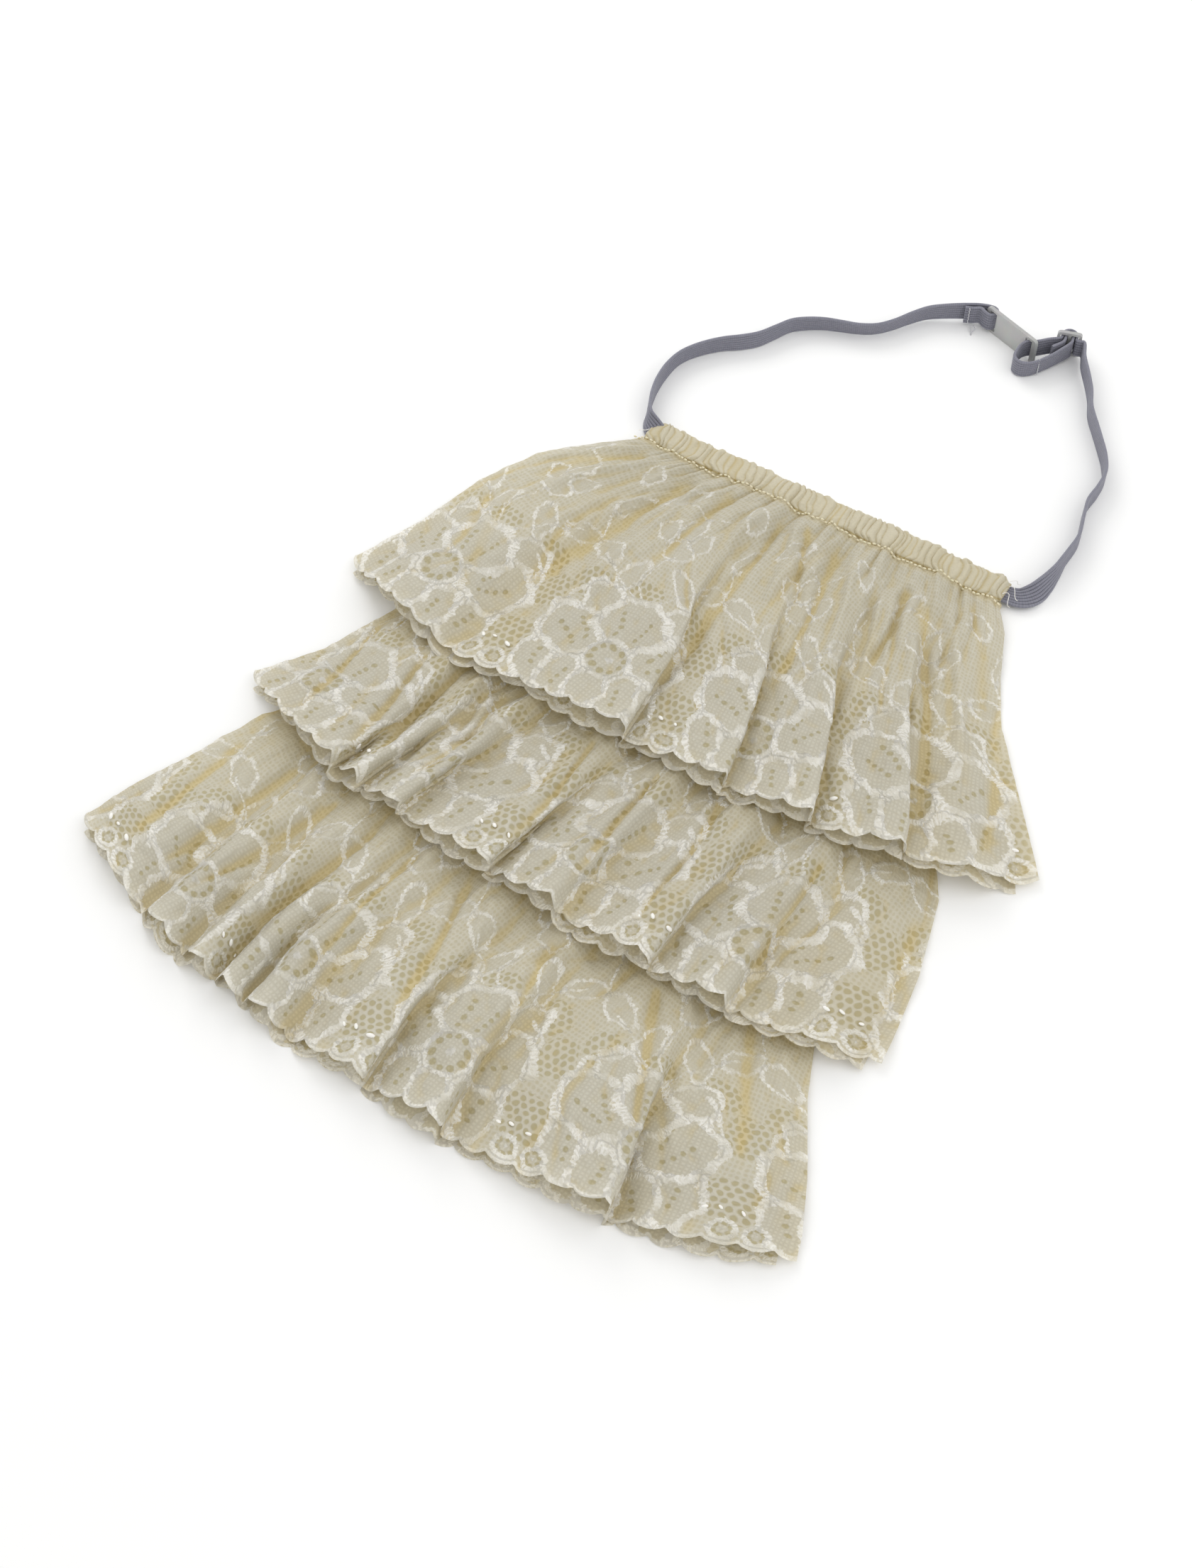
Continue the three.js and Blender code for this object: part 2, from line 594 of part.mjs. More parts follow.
// a fitting cut from flat plate, stood on edge and turned to the strap
function fitting(name, shape, place, colour) {
  const geometry = new THREE.ExtrudeGeometry(shape, { depth: FITTING.thick, bevelEnabled: false, curveSegments: 4 });
  geometry.translate(0, 0, -FITTING.thick / 2);
  geometry.rotateX(Math.PI / 2);
  const mesh = piece(name, geometry, colour, 0.35);
  mesh.position.set(place.x, place.y, 0);
  mesh.rotation.z = THREE.MathUtils.degToRad(place.turn);
  return mesh;
}

// ---- assembly --------------------------------------------------------------

function piece(name, geometry, colour, roughness) {
  const material = new THREE.MeshStandardMaterial({ color: colour, roughness, metalness: 0 });
  const mesh = new THREE.Mesh(geometry, material);
  mesh.name = name;
  return mesh;
}

const jabot = new THREE.Group();
jabot.name = 'lace_jabot';
jabot.add(piece('neck_casing', bandGeometry(), '#d6cdae', 0.9));
jabot.add(piece('back_panel', backGeometry(), '#d8d1b6', 0.9));
for (const frill of FRILLS) {
  jabot.add(piece(frill.name, frillGeometry(frill), frill.colour, 0.9));
}
jabot.add(piece('elastic_left', tapeGeometry(LEFT_ROUTE), '#8d8c9c', 0.8));
jabot.add(piece('elastic_right', tapeGeometry(RIGHT_ROUTE), '#8d8c9c', 0.8));
jabot.add(fitting('hook', hookShape(), HOOK, '#b3b1aa'));
jabot.add(fitting('slider', sliderShape(), SLIDER, '#b9b7b1'));

export default jabot;
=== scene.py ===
"""Looks of a lace jabot laid flat: a ruched neckband, three gathered lace frills on a
plain back panel, and an elastic neck strap with a milky plastic hook and slider.
Lengths in the tables are millimetres in the part's frame; meshes are in metres."""

import math

import bmesh
import bpy
import numpy as np
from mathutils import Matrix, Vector


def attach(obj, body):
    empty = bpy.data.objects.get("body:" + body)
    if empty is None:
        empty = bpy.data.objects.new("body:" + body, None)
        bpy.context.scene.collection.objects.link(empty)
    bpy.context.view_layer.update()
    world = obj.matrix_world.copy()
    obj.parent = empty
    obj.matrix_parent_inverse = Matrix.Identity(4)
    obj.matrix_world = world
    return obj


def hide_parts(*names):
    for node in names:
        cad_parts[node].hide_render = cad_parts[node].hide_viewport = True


MM = 0.001

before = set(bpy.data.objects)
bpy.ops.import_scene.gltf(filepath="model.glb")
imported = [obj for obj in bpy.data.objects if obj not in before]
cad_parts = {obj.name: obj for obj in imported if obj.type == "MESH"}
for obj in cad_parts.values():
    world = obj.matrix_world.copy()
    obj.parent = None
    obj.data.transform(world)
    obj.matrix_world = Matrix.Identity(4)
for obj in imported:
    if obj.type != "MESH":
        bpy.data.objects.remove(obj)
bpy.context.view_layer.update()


# ---- camera ----------------------------------------------------------------

CAMERA = {"place": (224.6, -504.1, 577.8), "target": (-3.3, -151.6, 0), "lens": 48.87}


def aimed(name, data, place, target):
    """A camera or lamp at a place, looking at its target."""
    thing = bpy.data.objects.new(name, data)
    bpy.context.scene.collection.objects.link(thing)
    thing.location = Vector(place) * MM
    thing.rotation_mode = "QUATERNION"
    way = Vector(target) * MM - thing.location
    thing.rotation_quaternion = way.to_track_quat("-Z", "Y")
    return thing


def make_camera():
    data = bpy.data.cameras.new("camera_main")
    data.lens = CAMERA["lens"]
    data.sensor_width = 36
    data.clip_start = 0.02
    data.clip_end = 20
    camera = aimed("camera_main", data, CAMERA["place"], CAMERA["target"])
    bpy.context.scene.camera = camera


make_camera()


# ---- numbers ---------------------------------------------------------------


def smooth(low, high, t):
    """A soft step from 0 at the low end to 1 at the high one."""
    k = np.clip((t - low) / (high - low), 0, 1)
    return k * k * (3 - 2 * k)


def table(columns, *rows):
    """A table's rows by the names of its columns."""
    return [dict(zip(columns.split(), row)) for row in rows]


def column(rows, key):
    """One column of a table as numbers."""
    return np.array([row[key] for row in rows], float)


def look_up(rows, key, at, *names):
    """The named columns of a table at one value of its key, straight between the rows."""
    keys = column(rows, key)
    order = np.argsort(keys)
    return [np.interp(at, keys[order], column(rows, name)[order]) for name in names]


def wander(u, w, size, seed):
    """Soft uneven noise over the flat cloth, mostly -1 to 1, with bumps of that size."""
    total = np.zeros(np.broadcast(u, w).shape)
    rng = np.random.default_rng(seed)
    waves = 9
    for _ in range(waves):
        turn = rng.uniform(0, math.pi)
        pitch = size * rng.uniform(0.7, 1.6)
        phase = rng.uniform(0, 2 * math.pi)
        way = u * math.cos(turn) + w * math.sin(turn)
        total += np.sin(2 * math.pi * way / pitch + phase)
    return total / 4.0  # nine waves rarely add up to more


# ---- materials -------------------------------------------------------------


def linear(colour):
    """An sRGB hex colour as linear RGBA."""
    parts = [int(colour[i : i + 2], 16) / 255 for i in (1, 3, 5)]
    return [c / 12.92 if c <= 0.04045 else ((c + 0.055) / 1.055) ** 2.4 for c in parts] + [1.0]


def add(tree, kind, settings=None, links=None):
    """Adds one node with its settings, and sets or links its inputs."""
    node = tree.nodes.new(kind)
    for name, value in (settings or {}).items():
        setattr(node, name, value)
    for name, value in (links or {}).items():
        socket = node.inputs[name]
        if isinstance(value, bpy.types.Node):
            tree.links.new(value.outputs[0], socket)
        elif isinstance(value, bpy.types.NodeSocket):
            tree.links.new(value, socket)
        else:
            socket.default_value = value
    return node


def new_material(name):
    """An empty material and its node tree."""
    material = bpy.data.materials.new(name)
    material.use_nodes = True
    material.node_tree.nodes.clear()
    return material, material.node_tree


MATH = "ShaderNodeMath"
VECTOR = "ShaderNodeVectorMath"
RANGE = "ShaderNodeMapRange"
MIX = "ShaderNodeMix"
NOISE = "ShaderNodeTexNoise"
BUMP = "ShaderNodeBump"
STORED = "ShaderNodeAttribute"
PLACE = "ShaderNodeTexCoord"
PRINCIPLED = "ShaderNodeBsdfPrincipled"
TRANSLUCENT = "ShaderNodeBsdfTranslucent"
MIX_SHADER = "ShaderNodeMixShader"
OUTPUT = "ShaderNodeOutputMaterial"

ADD = {"operation": "ADD"}
SUBTRACT = {"operation": "SUBTRACT"}
MULTIPLY = {"operation": "MULTIPLY"}
MULTIPLY_ADD = {"operation": "MULTIPLY_ADD"}
CLAMPED_ADD = {"operation": "ADD", "use_clamp": True}
CLAMPED_MULTIPLY_ADD = {"operation": "MULTIPLY_ADD", "use_clamp": True}
MINIMUM = {"operation": "MINIMUM"}
MAXIMUM = {"operation": "MAXIMUM"}
SCALE = {"operation": "SCALE"}
LENGTH = {"operation": "LENGTH"}
SINE = {"operation": "SINE"}
COLOURS = {"data_type": "RGBA"}
DARKEN = {"data_type": "RGBA", "blend_type": "MULTIPLY"}
NOISE_SPAN = {"From Min": 0.3, "From Max": 0.7}  # holds nearly all of a noise's values

# Sizes in millimetres. What is too fine to show is drawn coarser than the real lace.
LACE_NET = {
    "comb": 3.2,  # pitch of the honeycomb holes
    "comb_uneven": 0.09,  # how far a hole's edge is pulled, as a share of that pitch
    "fine": 1.9,  # pitch of the fine net: its real 1 mm is too fine to show, so coarser
    "fine_dark": 0.45,  # and fainter
    "turn": 8,  # how far the fine net and the cloth stitch are turned, degrees
    "comb_open": 0.1,  # share of a hole that is clear; hair-fine filaments cross the rest, which is painted with the shade of the layers below
    "fine_open": 0.06,
    "stitch": 1.6,  # pitch of the satin stitches, coarser than the real thread, so it shows
    "slant": 2.6,  # how far the stitches lean over the outline, radians a mm
    "jitter": 0.9,  # how uneven they are
    "close": 1.5,  # pitch of the close mesh in the petals' cloth stitch, coarser too
    "fuzz": 0.9,  # how ragged the satin outline's edge is
    "fray": 0.75,  # the uneven patterns, in bumps a mm: the outline's edge,
    "pull": 0.33,  # the honeycomb's holes,
    "thread": 1.1,  # the satin stitches,
    "knot": 0.5,  # the light and dark threads
    "speck": 1.3,  # and the loops that stand up
}


def honeycomb(tree, flat):
    """Round holes on two interlaced lattices, where the nearer centre counts."""
    tall = math.sqrt(3)
    grid = add(tree, VECTOR, SCALE, {0: flat, "Scale": 1 / LACE_NET["comb"]})
    nearest = []
    # whole cells are added, so that no place is below zero
    for offset in ((50.0, 30 * tall, 0.0), (50.5, 30.5 * tall, 0.0)):
        moved = add(tree, VECTOR, ADD, {0: grid, 1: offset})
        cell = add(tree, VECTOR, {"operation": "MODULO"}, {0: moved, 1: (1.0, tall, 1.0)})
        local = add(tree, VECTOR, SUBTRACT, {0: cell, 1: (0.5, tall / 2, 0.0)})
        nearest.append(add(tree, VECTOR, LENGTH, {0: local}).outputs["Value"])
    far = add(tree, MATH, MINIMUM, {0: nearest[0], 1: nearest[1]})
    pulls = add(tree, NOISE, None, {"Vector": flat, "Scale": LACE_NET["pull"], "Detail": 1.0})
    reach = {"To Min": -LACE_NET["comb_uneven"], "To Max": LACE_NET["comb_uneven"]}
    pull = add(tree, RANGE, None, {"Value": pulls.outputs["Fac"], **NOISE_SPAN, **reach})
    pulled = add(tree, MATH, ADD, {0: far, 1: pull})
    return add(tree, RANGE, None, {"Value": pulled, "From Min": 0.42, "From Max": 0.26})


def fine_net(tree, turned):
    """Small, nearly square holes."""
    small = add(tree, VECTOR, SCALE, {0: turned, "Scale": 1 / LACE_NET["fine"]})
    apart = add(tree, VECTOR, ADD, {0: small, 1: (400.0, 400.0, 0.0)})
    square = add(tree, VECTOR, {"operation": "FRACTION"}, {0: apart})
    local = add(tree, VECTOR, SUBTRACT, {0: square, 1: (0.5, 0.5, 0.0)})
    far = add(tree, VECTOR, LENGTH, {0: local}).outputs["Value"]
    hole = add(tree, RANGE, None, {"Value": far, "From Min": 0.44, "From Max": 0.2})
    return add(tree, MATH, MULTIPLY, {0: hole, 1: LACE_NET["fine_dark"]})


def satin_stitches(tree, stroke, gimp):
    """Stitches that slant across the outline, each a little off its place."""
    slant = add(tree, MATH, MULTIPLY, {0: gimp, 1: LACE_NET["slant"]})
    turn = 2 * math.pi / LACE_NET["stitch"]
    stitches = add(tree, MATH, MULTIPLY_ADD, {0: stroke, 1: turn, 2: slant})
    wave = add(tree, MATH, SINE, {0: stitches})
    lie = add(tree, "ShaderNodeCombineXYZ", None, {"X": stroke, "Y": gimp})
    threads = add(tree, NOISE, None, {"Vector": lie, "Scale": LACE_NET["thread"], "Detail": 1.0})
    reach = {"To Min": -LACE_NET["jitter"], "To Max": LACE_NET["jitter"]}
    jitter = add(tree, RANGE, None, {"Value": threads.outputs["Fac"], **NOISE_SPAN, **reach})
    return add(tree, MATH, MULTIPLY_ADD, {0: wave, 1: 0.5, 2: jitter})


def cloth_stitch(tree, turned):
    """A close mesh, low between its threads."""
    scale = add(tree, VECTOR, SCALE, {0: turned, "Scale": 2 * math.pi / LACE_NET["close"]})
    parts = add(tree, "ShaderNodeSeparateXYZ", None, {0: scale})
    down = add(tree, MATH, SINE, {0: parts.outputs["X"]})
    over = add(tree, MATH, SINE, {0: parts.outputs["Y"]})
    return add(tree, MATH, MINIMUM, {0: down, 1: over})


def lace_areas(tree, lace):
    """Where the satin outline, the cloth stitch and each kind of hole are."""
    # the outline's edge is ragged where its stitches end
    flat = lace["flat"]
    ends = add(tree, NOISE, None, {"Vector": flat, "Scale": LACE_NET["fray"], "Detail": 1.0})
    fray = add(tree, RANGE, None, {"Value": ends.outputs["Fac"], **NOISE_SPAN})
    frayed = add(tree, MATH, MULTIPLY_ADD, {0: fray, 1: LACE_NET["fuzz"], 2: lace["gimp"]})
    gimp = add(tree, MATH, SUBTRACT, {0: frayed, 1: 0.5 * LACE_NET["fuzz"]})
    off_gimp = add(tree, RANGE, None, {"Value": gimp, "From Min": 0.25, "From Max": -0.15})
    on_gimp = add(tree, MATH, SUBTRACT, {0: 1.0, 1: off_gimp})

    turn = math.radians(LACE_NET["turn"])
    turned = add(tree, "ShaderNodeVectorRotate", None, {"Vector": flat, "Angle": turn})
    edge = {"From Min": -0.2, "From Max": 0.2}
    comb_side = add(tree, RANGE, None, {"Value": lace["comb"], **edge})
    nets = {"A": fine_net(tree, turned), "B": honeycomb(tree, flat)}
    net_hole = add(tree, MIX, None, {"Factor": comb_side, **nets})
    edge = {"From Min": 0.3, "From Max": -0.3}
    off_cloth = add(tree, RANGE, None, {"Value": lace["cloth"], **edge})
    on_cloth = add(tree, MATH, SUBTRACT, {0: 1.0, 1: off_cloth})
    open_net = add(tree, MATH, MULTIPLY, {0: net_hole, 1: off_cloth})
    edge = {"From Min": 0.2, "From Max": -0.2}
    pin_hole = add(tree, RANGE, None, {"Value": lace["pin"], **edge})
    any_hole = add(tree, MATH, MAXIMUM, {0: open_net, 1: pin_hole})

    hole = add(tree, MATH, MULTIPLY, {0: any_hole, 1: off_gimp})
    openings = {"To Min": LACE_NET["fine_open"], "To Max": LACE_NET["comb_open"]}
    clearness = add(tree, RANGE, None, {"Value": comb_side, **openings})
    return {
        "off_gimp": off_gimp,
        "on_gimp": on_gimp,
        "off_cloth": off_cloth,
        "on_cloth": on_cloth,
        "any_hole": any_hole,
        "see_through": add(tree, MATH, MULTIPLY, {0: hole, 1: clearness}),
        "satin": satin_stitches(tree, lace["stroke"], gimp),
        "mesh": cloth_stitch(tree, turned),
    }


def lace_colour(tree, lace, tones):
    """Closer cloth is whiter than the net; creases, holes and the gaps of the close mesh get
    painted shade, and the satin a painted highlight.
    """
    closeness = {"Value": lace["off_cloth"], "To Min": 0.45, "To Max": 0.0}
    close = add(tree, RANGE, None, closeness)
    paleness = add(tree, MATH, CLAMPED_MULTIPLY_ADD, {0: lace["tone"], 1: 0.55, 2: close})
    grain = {"Scale": LACE_NET["knot"], "Detail": 4.0, "Roughness": 0.75}
    knots = add(tree, NOISE, None, {"Vector": lace["flat"], **grain})
    reach = {"To Min": -0.55, "To Max": 0.55}
    uneven = add(tree, RANGE, None, {"Value": knots.outputs["Fac"], **NOISE_SPAN, **reach})
    paleness = add(tree, MATH, CLAMPED_ADD, {0: paleness, 1: uneven})
    links = {"Factor": paleness, "A": tones["deep"], "B": tones["pale"]}
    body = add(tree, MIX, COLOURS, links).outputs[2]
    # painted warm shade in the creases, under the frill above and along the seam
    links = {"Factor": lace["crease"], "A": body, "B": tones["crease"]}
    crease_shaded = add(tree, MIX, COLOURS, links).outputs[2]
    # painted shade of the layers below, seen through the holes
    links = {"Factor": lace["any_hole"], "A": crease_shaded, "B": tones["hole"]}
    holed = add(tree, MIX, DARKEN, links).outputs[2]
    # painted shade in the gaps between the threads of the close mesh
    gaps = {"From Min": -1.0, "To Min": 0.2, "To Max": 0.0}
    between = add(tree, RANGE, None, {"Value": lace["mesh"], **gaps})
    between = add(tree, MATH, MULTIPLY, {0: between, 1: lace["on_cloth"]})
    links = {"Factor": between, "A": holed, "B": tones["mesh"]}
    meshed = add(tree, MIX, DARKEN, links).outputs[2]

    # painted highlight: satin is bright only where its stitches lie across the light, and along
    # each stitch
    gaps = {"From Min": -0.9, "From Max": 0.5, "To Min": 0.8, "To Max": 0.0}
    satin_dark = add(tree, RANGE, None, {"Value": lace["satin"], **gaps})
    turned_off = add(tree, RANGE, None, {"Value": lace["glint"], "To Min": 0.9, "To Max": 0.0})
    dull = add(tree, MATH, MAXIMUM, {0: satin_dark, 1: turned_off})
    bright = add(tree, MIX, COLOURS, {"Factor": dull, "A": tones["satin"], "B": crease_shaded})
    links = {"Factor": lace["off_gimp"], "A": bright.outputs[2], "B": meshed}
    return add(tree, MIX, COLOURS, links).outputs[2]


def lace_bump(tree, lace):
    """The stitches and threads stand up, and the holes go down."""
    grain = {"Scale": LACE_NET["speck"], "Detail": 2.0}
    speck = add(tree, NOISE, None, {"Vector": lace["flat"], **grain})
    satin_high = add(tree, MATH, MULTIPLY, {0: lace["satin"], 1: lace["on_gimp"]})
    mesh_high = add(tree, MATH, MULTIPLY, {0: lace["mesh"], 1: lace["on_cloth"]})
    relief = add(tree, MATH, MULTIPLY_ADD, {0: mesh_high, 1: 0.2, 2: satin_high})
    solid = add(tree, MATH, SUBTRACT, {0: relief, 1: lace["any_hole"]})
    height = add(tree, MATH, MULTIPLY_ADD, {0: speck.outputs["Fac"], 1: 1.2, 2: solid})
    return add(tree, BUMP, None, {"Strength": 0.5, "Distance": 0.0003, "Height": height})


def raschel_lace(name, **colours):
    """Machine-made raschel lace in a cotton and nylon mix: matt ground threads with open
    net between them, closer cloth stitch in the petals, and a raised satin outline. Light
    that is held between its layers comes out warmer, so creases are painted yellower, as
    painted shade. The colours are those of its pale and deep threads and its satin, and
    the painted shade of its holes, of the gaps in its close mesh and of its creases."""
    material, tree = new_material(name)
    lace = {"flat": add(tree, STORED, {"attribute_name": "flat"}).outputs["Vector"]}
    for read in ("gimp", "cloth", "comb", "pin", "stroke", "tone", "crease", "glint"):
        lace[read] = add(tree, STORED, {"attribute_name": read}).outputs["Fac"]
    lace.update(lace_areas(tree, lace))
    tones = {part: linear(colour) for part, colour in colours.items()}
    colour = lace_colour(tree, lace, tones)
    shine = add(tree, RANGE, None, {"Value": lace["on_gimp"], "To Min": 0.85, "To Max": 0.34})
    bump = lace_bump(tree, lace)
    links = {"Base Color": colour, "Roughness": shine, "IOR": 1.5, "Normal": bump}
    sheen = {"Sheen Weight": 0.2, "Sheen Roughness": 0.4}
    surface = add(tree, PRINCIPLED, None, {**links, **sheen})
    through = add(tree, TRANSLUCENT, None, {"Color": colour})
    lit = add(tree, MIX_SHADER, None, {0: 0.27, 1: surface, 2: through})
    clear = add(tree, "ShaderNodeBsdfTransparent")
    shown = add(tree, MIX_SHADER, None, {0: lace["see_through"], 1: lit, 2: clear})
    add(tree, OUTPUT, None, {"Surface": shown})
    return material


def plain_cloth(name, pale, deep, crease_shade_colour, pitch):
    """Fine tricot net with a soft matt face: pale threads, a faint crepe of tiny loops, and
    a painted warmer shade in the creases, where light bounces between the folds."""
    material, tree = new_material(name)
    place = add(tree, PLACE).outputs["Object"]
    in_mm = add(tree, VECTOR, SCALE, {0: place, "Scale": 1 / MM})
    uneven = add(tree, NOISE, None, {"Vector": in_mm, "Scale": 0.12, "Detail": 5.0})
    loops = add(tree, "ShaderNodeTexVoronoi", None, {"Vector": in_mm, "Scale": 1 / pitch})
    tones = {"A": linear(deep), "B": linear(pale)}
    body = add(tree, MIX, COLOURS, {"Factor": uneven.outputs["Fac"], **tones}).outputs[2]
    # painted warm shade in the creases, from the stored crease values
    crease = add(tree, STORED, {"attribute_name": "crease"}).outputs["Fac"]
    crease_shaded = add(tree, MIX, COLOURS, {"Factor": crease, "A": body, "B": linear(crease_shade_colour)})
    colour = crease_shaded.outputs[2]
    relief = {"Strength": 0.6, "Distance": 0.0003, "Height": loops.outputs["Distance"]}
    bump = add(tree, BUMP, None, relief)
    links = {"Base Color": colour, "Roughness": 0.85, "Sheen Weight": 0.2, "Normal": bump}
    surface = add(tree, PRINCIPLED, None, links)
    through = add(tree, TRANSLUCENT, None, {"Color": colour})
    lit = add(tree, MIX_SHADER, None, {0: 0.25, 1: surface, 2: through})
    add(tree, OUTPUT, None, {"Surface": lit})
    return material


def satin_thread(name, colour, roughness):
    """Mercerised embroidery thread: pale and glossy along the twist."""
    material, tree = new_material(name)
    place = add(tree, PLACE).outputs["Object"]
    twist = add(tree, NOISE, None, {"Vector": place, "Scale": 1.8 / MM, "Detail": 2.0})
    links = {"Factor": 0.15, "A": linear(colour), "B": twist.outputs["Color"]}
    tone = add(tree, MIX, DARKEN, links).outputs[2]
    relief = {"Strength": 0.4, "Distance": 0.0001, "Height": twist.outputs["Fac"]}
    bump = add(tree, BUMP, None, relief)
    links = {"Base Color": tone, "Roughness": roughness, "Sheen Weight": 0.3, "Normal": bump}
    surface = add(tree, PRINCIPLED, None, links)
    add(tree, OUTPUT, None, {"Surface": surface})
    return material


WEFT_PITCH = 0.8  # of the elastic's crosswise threads, mm


def woven_elastic(name, rib_colour, dark_tone_and_groove_shade):
    """Woven elastic: rubber cords covered in dull polyester, with a fine crosswise weft."""
    material, tree = new_material(name)
    along = add(tree, STORED, {"attribute_name": "along"}).outputs["Fac"]
    turns = add(tree, MATH, MULTIPLY, {0: along, 1: 2 * math.pi / WEFT_PITCH})
    weft = add(tree, MATH, SINE, {0: turns})
    place = add(tree, PLACE).outputs["Object"]
    fuzz = add(tree, NOISE, None, {"Vector": place, "Scale": 0.9 / MM, "Detail": 3.0})
    # the tone varies at random, and is painted darker in the grooves between the weft threads, as
    # painted shade
    both = add(tree, MATH, MULTIPLY_ADD, {0: weft, 1: 0.25, 2: fuzz.outputs["Fac"]})
    tone = add(tree, RANGE, None, {"Value": both, "From Min": -0.2, "From Max": 1.2})
    links = {"Factor": tone, "A": linear(dark_tone_and_groove_shade), "B": linear(rib_colour)}
    colour = add(tree, MIX, COLOURS, links).outputs[2]
    bump = add(tree, BUMP, None, {"Strength": 0.5, "Distance": 0.00015, "Height": both})
    links = {"Base Color": colour, "Roughness": 0.6, "Sheen Weight": 0.2, "Normal": bump}
    surface = add(tree, PRINCIPLED, None, links)
    add(tree, OUTPUT, None, {"Surface": surface})
    return material


def moulded_nylon(name, colour):
    """Injection-moulded translucent nylon: milky, slightly frosted, with soft edges."""
    material, tree = new_material(name)
    place = add(tree, PLACE).outputs["Object"]
    cloud = add(tree, NOISE, None, {"Vector": place, "Scale": 0.24 / MM, "Detail": 3.0})
    links = {"Factor": 0.12, "A": linear(colour), "B": cloud.outputs["Color"]}
    tone = add(tree, MIX, DARKEN, links).outputs[2]
    relief = {"Strength": 0.15, "Distance": 0.0001, "Height": cloud.outputs["Fac"]}
    frost = add(tree, BUMP, None, relief)
    rough = add(tree, RANGE, None, {"Value": cloud.outputs["Fac"], "To Min": 0.3, "To Max": 0.5})
    links = {"Base Color": tone, "Roughness": rough, "Normal": frost}
    surface = add(tree, PRINCIPLED, None, {**links, "IOR": 1.53, "Transmission Weight": 0.35})
    add(tree, OUTPUT, None, {"Surface": surface})
    return material


# hole, mesh and crease are painted shade: the layers below seen through the holes, the gaps of the
# close mesh, and creases, shelter and seam; satin is the outline's white, shown with its painted
# highlight
LACE = raschel_lace(
    "raschel_lace_cream",
    pale="#dbd7c8",
    deep="#d4cebb",
    satin="#fffdf6",
    hole="#ebe5cc",
    mesh="#9c9068",
    crease="#dac893",
)
BAND_CLOTH = plain_cloth("tricot_cream_ruched", "#e1dac4", "#d8cfb2", "#ccb87e", 0.9)
BACK_CLOTH = plain_cloth("tricot_cream_plain", "#d9d1b2", "#cdc29b", "#c4b071", 1.1)
THREAD = satin_thread("embroidery_thread_white", "#fbf9f2", 0.35)
GREY_THREAD = satin_thread("sewing_thread_grey", "#c6c6ca", 0.55)
SEWING = satin_thread("sewing_thread_cream", "#ece3c2", 0.55)
ELASTIC_CLOTH = woven_elastic("woven_elastic_grey", "#8b8b97", "#696975")
CLEAR_NYLON = moulded_nylon("moulded_nylon_milky", "#cfcfcd")


# ---- making pieces ---------------------------------------------------------


def placed(name, mesh, material=None):
    """An object at the origin for a mesh."""
    piece = bpy.data.objects.new(name, mesh)
    bpy.context.scene.collection.objects.link(piece)
    if material is not None:
        mesh.materials.append(material)
    return piece


def mesh_object(name, points, faces, material, edges=()):
    """A smooth mesh from points in millimetres."""
    mesh = bpy.data.meshes.new(name)
    corners = faces.tolist() if isinstance(faces, np.ndarray) else faces
    mesh.from_pydata((np.asarray(points, float) * MM).tolist(), list(edges), corners)
    mesh.update()
    mesh.polygons.foreach_set("use_smooth", [True] * len(mesh.polygons))
    return placed(name, mesh, material)


def give(piece, name, values, kind="FLOAT"):
    """Stores one value for each vertex under a name that the materials and trees read."""
    attribute = piece.data.attributes.new(name, kind, "POINT")
    field = "value" if kind == "FLOAT" else "vector"
    attribute.data.foreach_set(field, np.asarray(values, np.float32).ravel())


def grid_faces(rows, cols, wrap=False):
    """The four-sided faces between rows of points, closed into a tube if wrapped."""
    i, j = np.meshgrid(np.arange(rows - 1), np.arange(cols if wrap else cols - 1), indexing="ij")
    near = i * cols + j
    side = i * cols + (j + 1) % cols
    return np.stack([near, near + cols, side + cols, side], -1).reshape(-1, 4)


def grown(source, name, build, inputs, material):
    """Runs a Geometry Nodes tree on a source mesh and keeps the result as a plain mesh."""
    tree = bpy.data.node_groups.new(name + "_tree", "GeometryNodeTree")
    tree.interface.new_socket("Geometry", in_out="INPUT", socket_type="NodeSocketGeometry")
    tree.interface.new_socket("Geometry", in_out="OUTPUT", socket_type="NodeSocketGeometry")
    named = {}
    for label, value in inputs.items():
        kind = "NodeSocketInt" if isinstance(value, int) else "NodeSocketFloat"
        named[label] = tree.interface.new_socket(label, in_out="INPUT", socket_type=kind)
    start = add(tree, "NodeGroupInput")
    shape = build(tree, start)
    real = add(tree, "GeometryNodeRealizeInstances", None, {"Geometry": shape})
    painted = add(tree, "GeometryNodeSetMaterial", None, {"Geometry": real, "Material": material})
    add(tree, "NodeGroupOutput", None, {"Geometry": painted})
    modifier = source.modifiers.new(name, "NODES")
    modifier.node_group = tree
    for label, value in inputs.items():
        modifier[named[label].identifier] = value
    graph = bpy.context.evaluated_depsgraph_get()
    mesh = bpy.data.meshes.new_from_object(source.evaluated_get(graph))
    mesh.name = name
    source.modifiers.remove(modifier)
    mesh.polygons.foreach_set("use_smooth", [True] * len(mesh.polygons))
    return placed(name, mesh)


def finish_piece(piece, slot, *nodes):
    """Tells the frame what the piece rides on, and hides the solids it stands for. Its slot is not
    used.
    """
    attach(piece, "root")
    if nodes:
        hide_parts(*nodes)


# ---- the frills: the same surface as the solids ----------------------------
# outline: one row for each section down the frill, v from 0 at the seam to 1 at
#   the hem. folds: one row for each fold along the hem. bed: what it lies on.

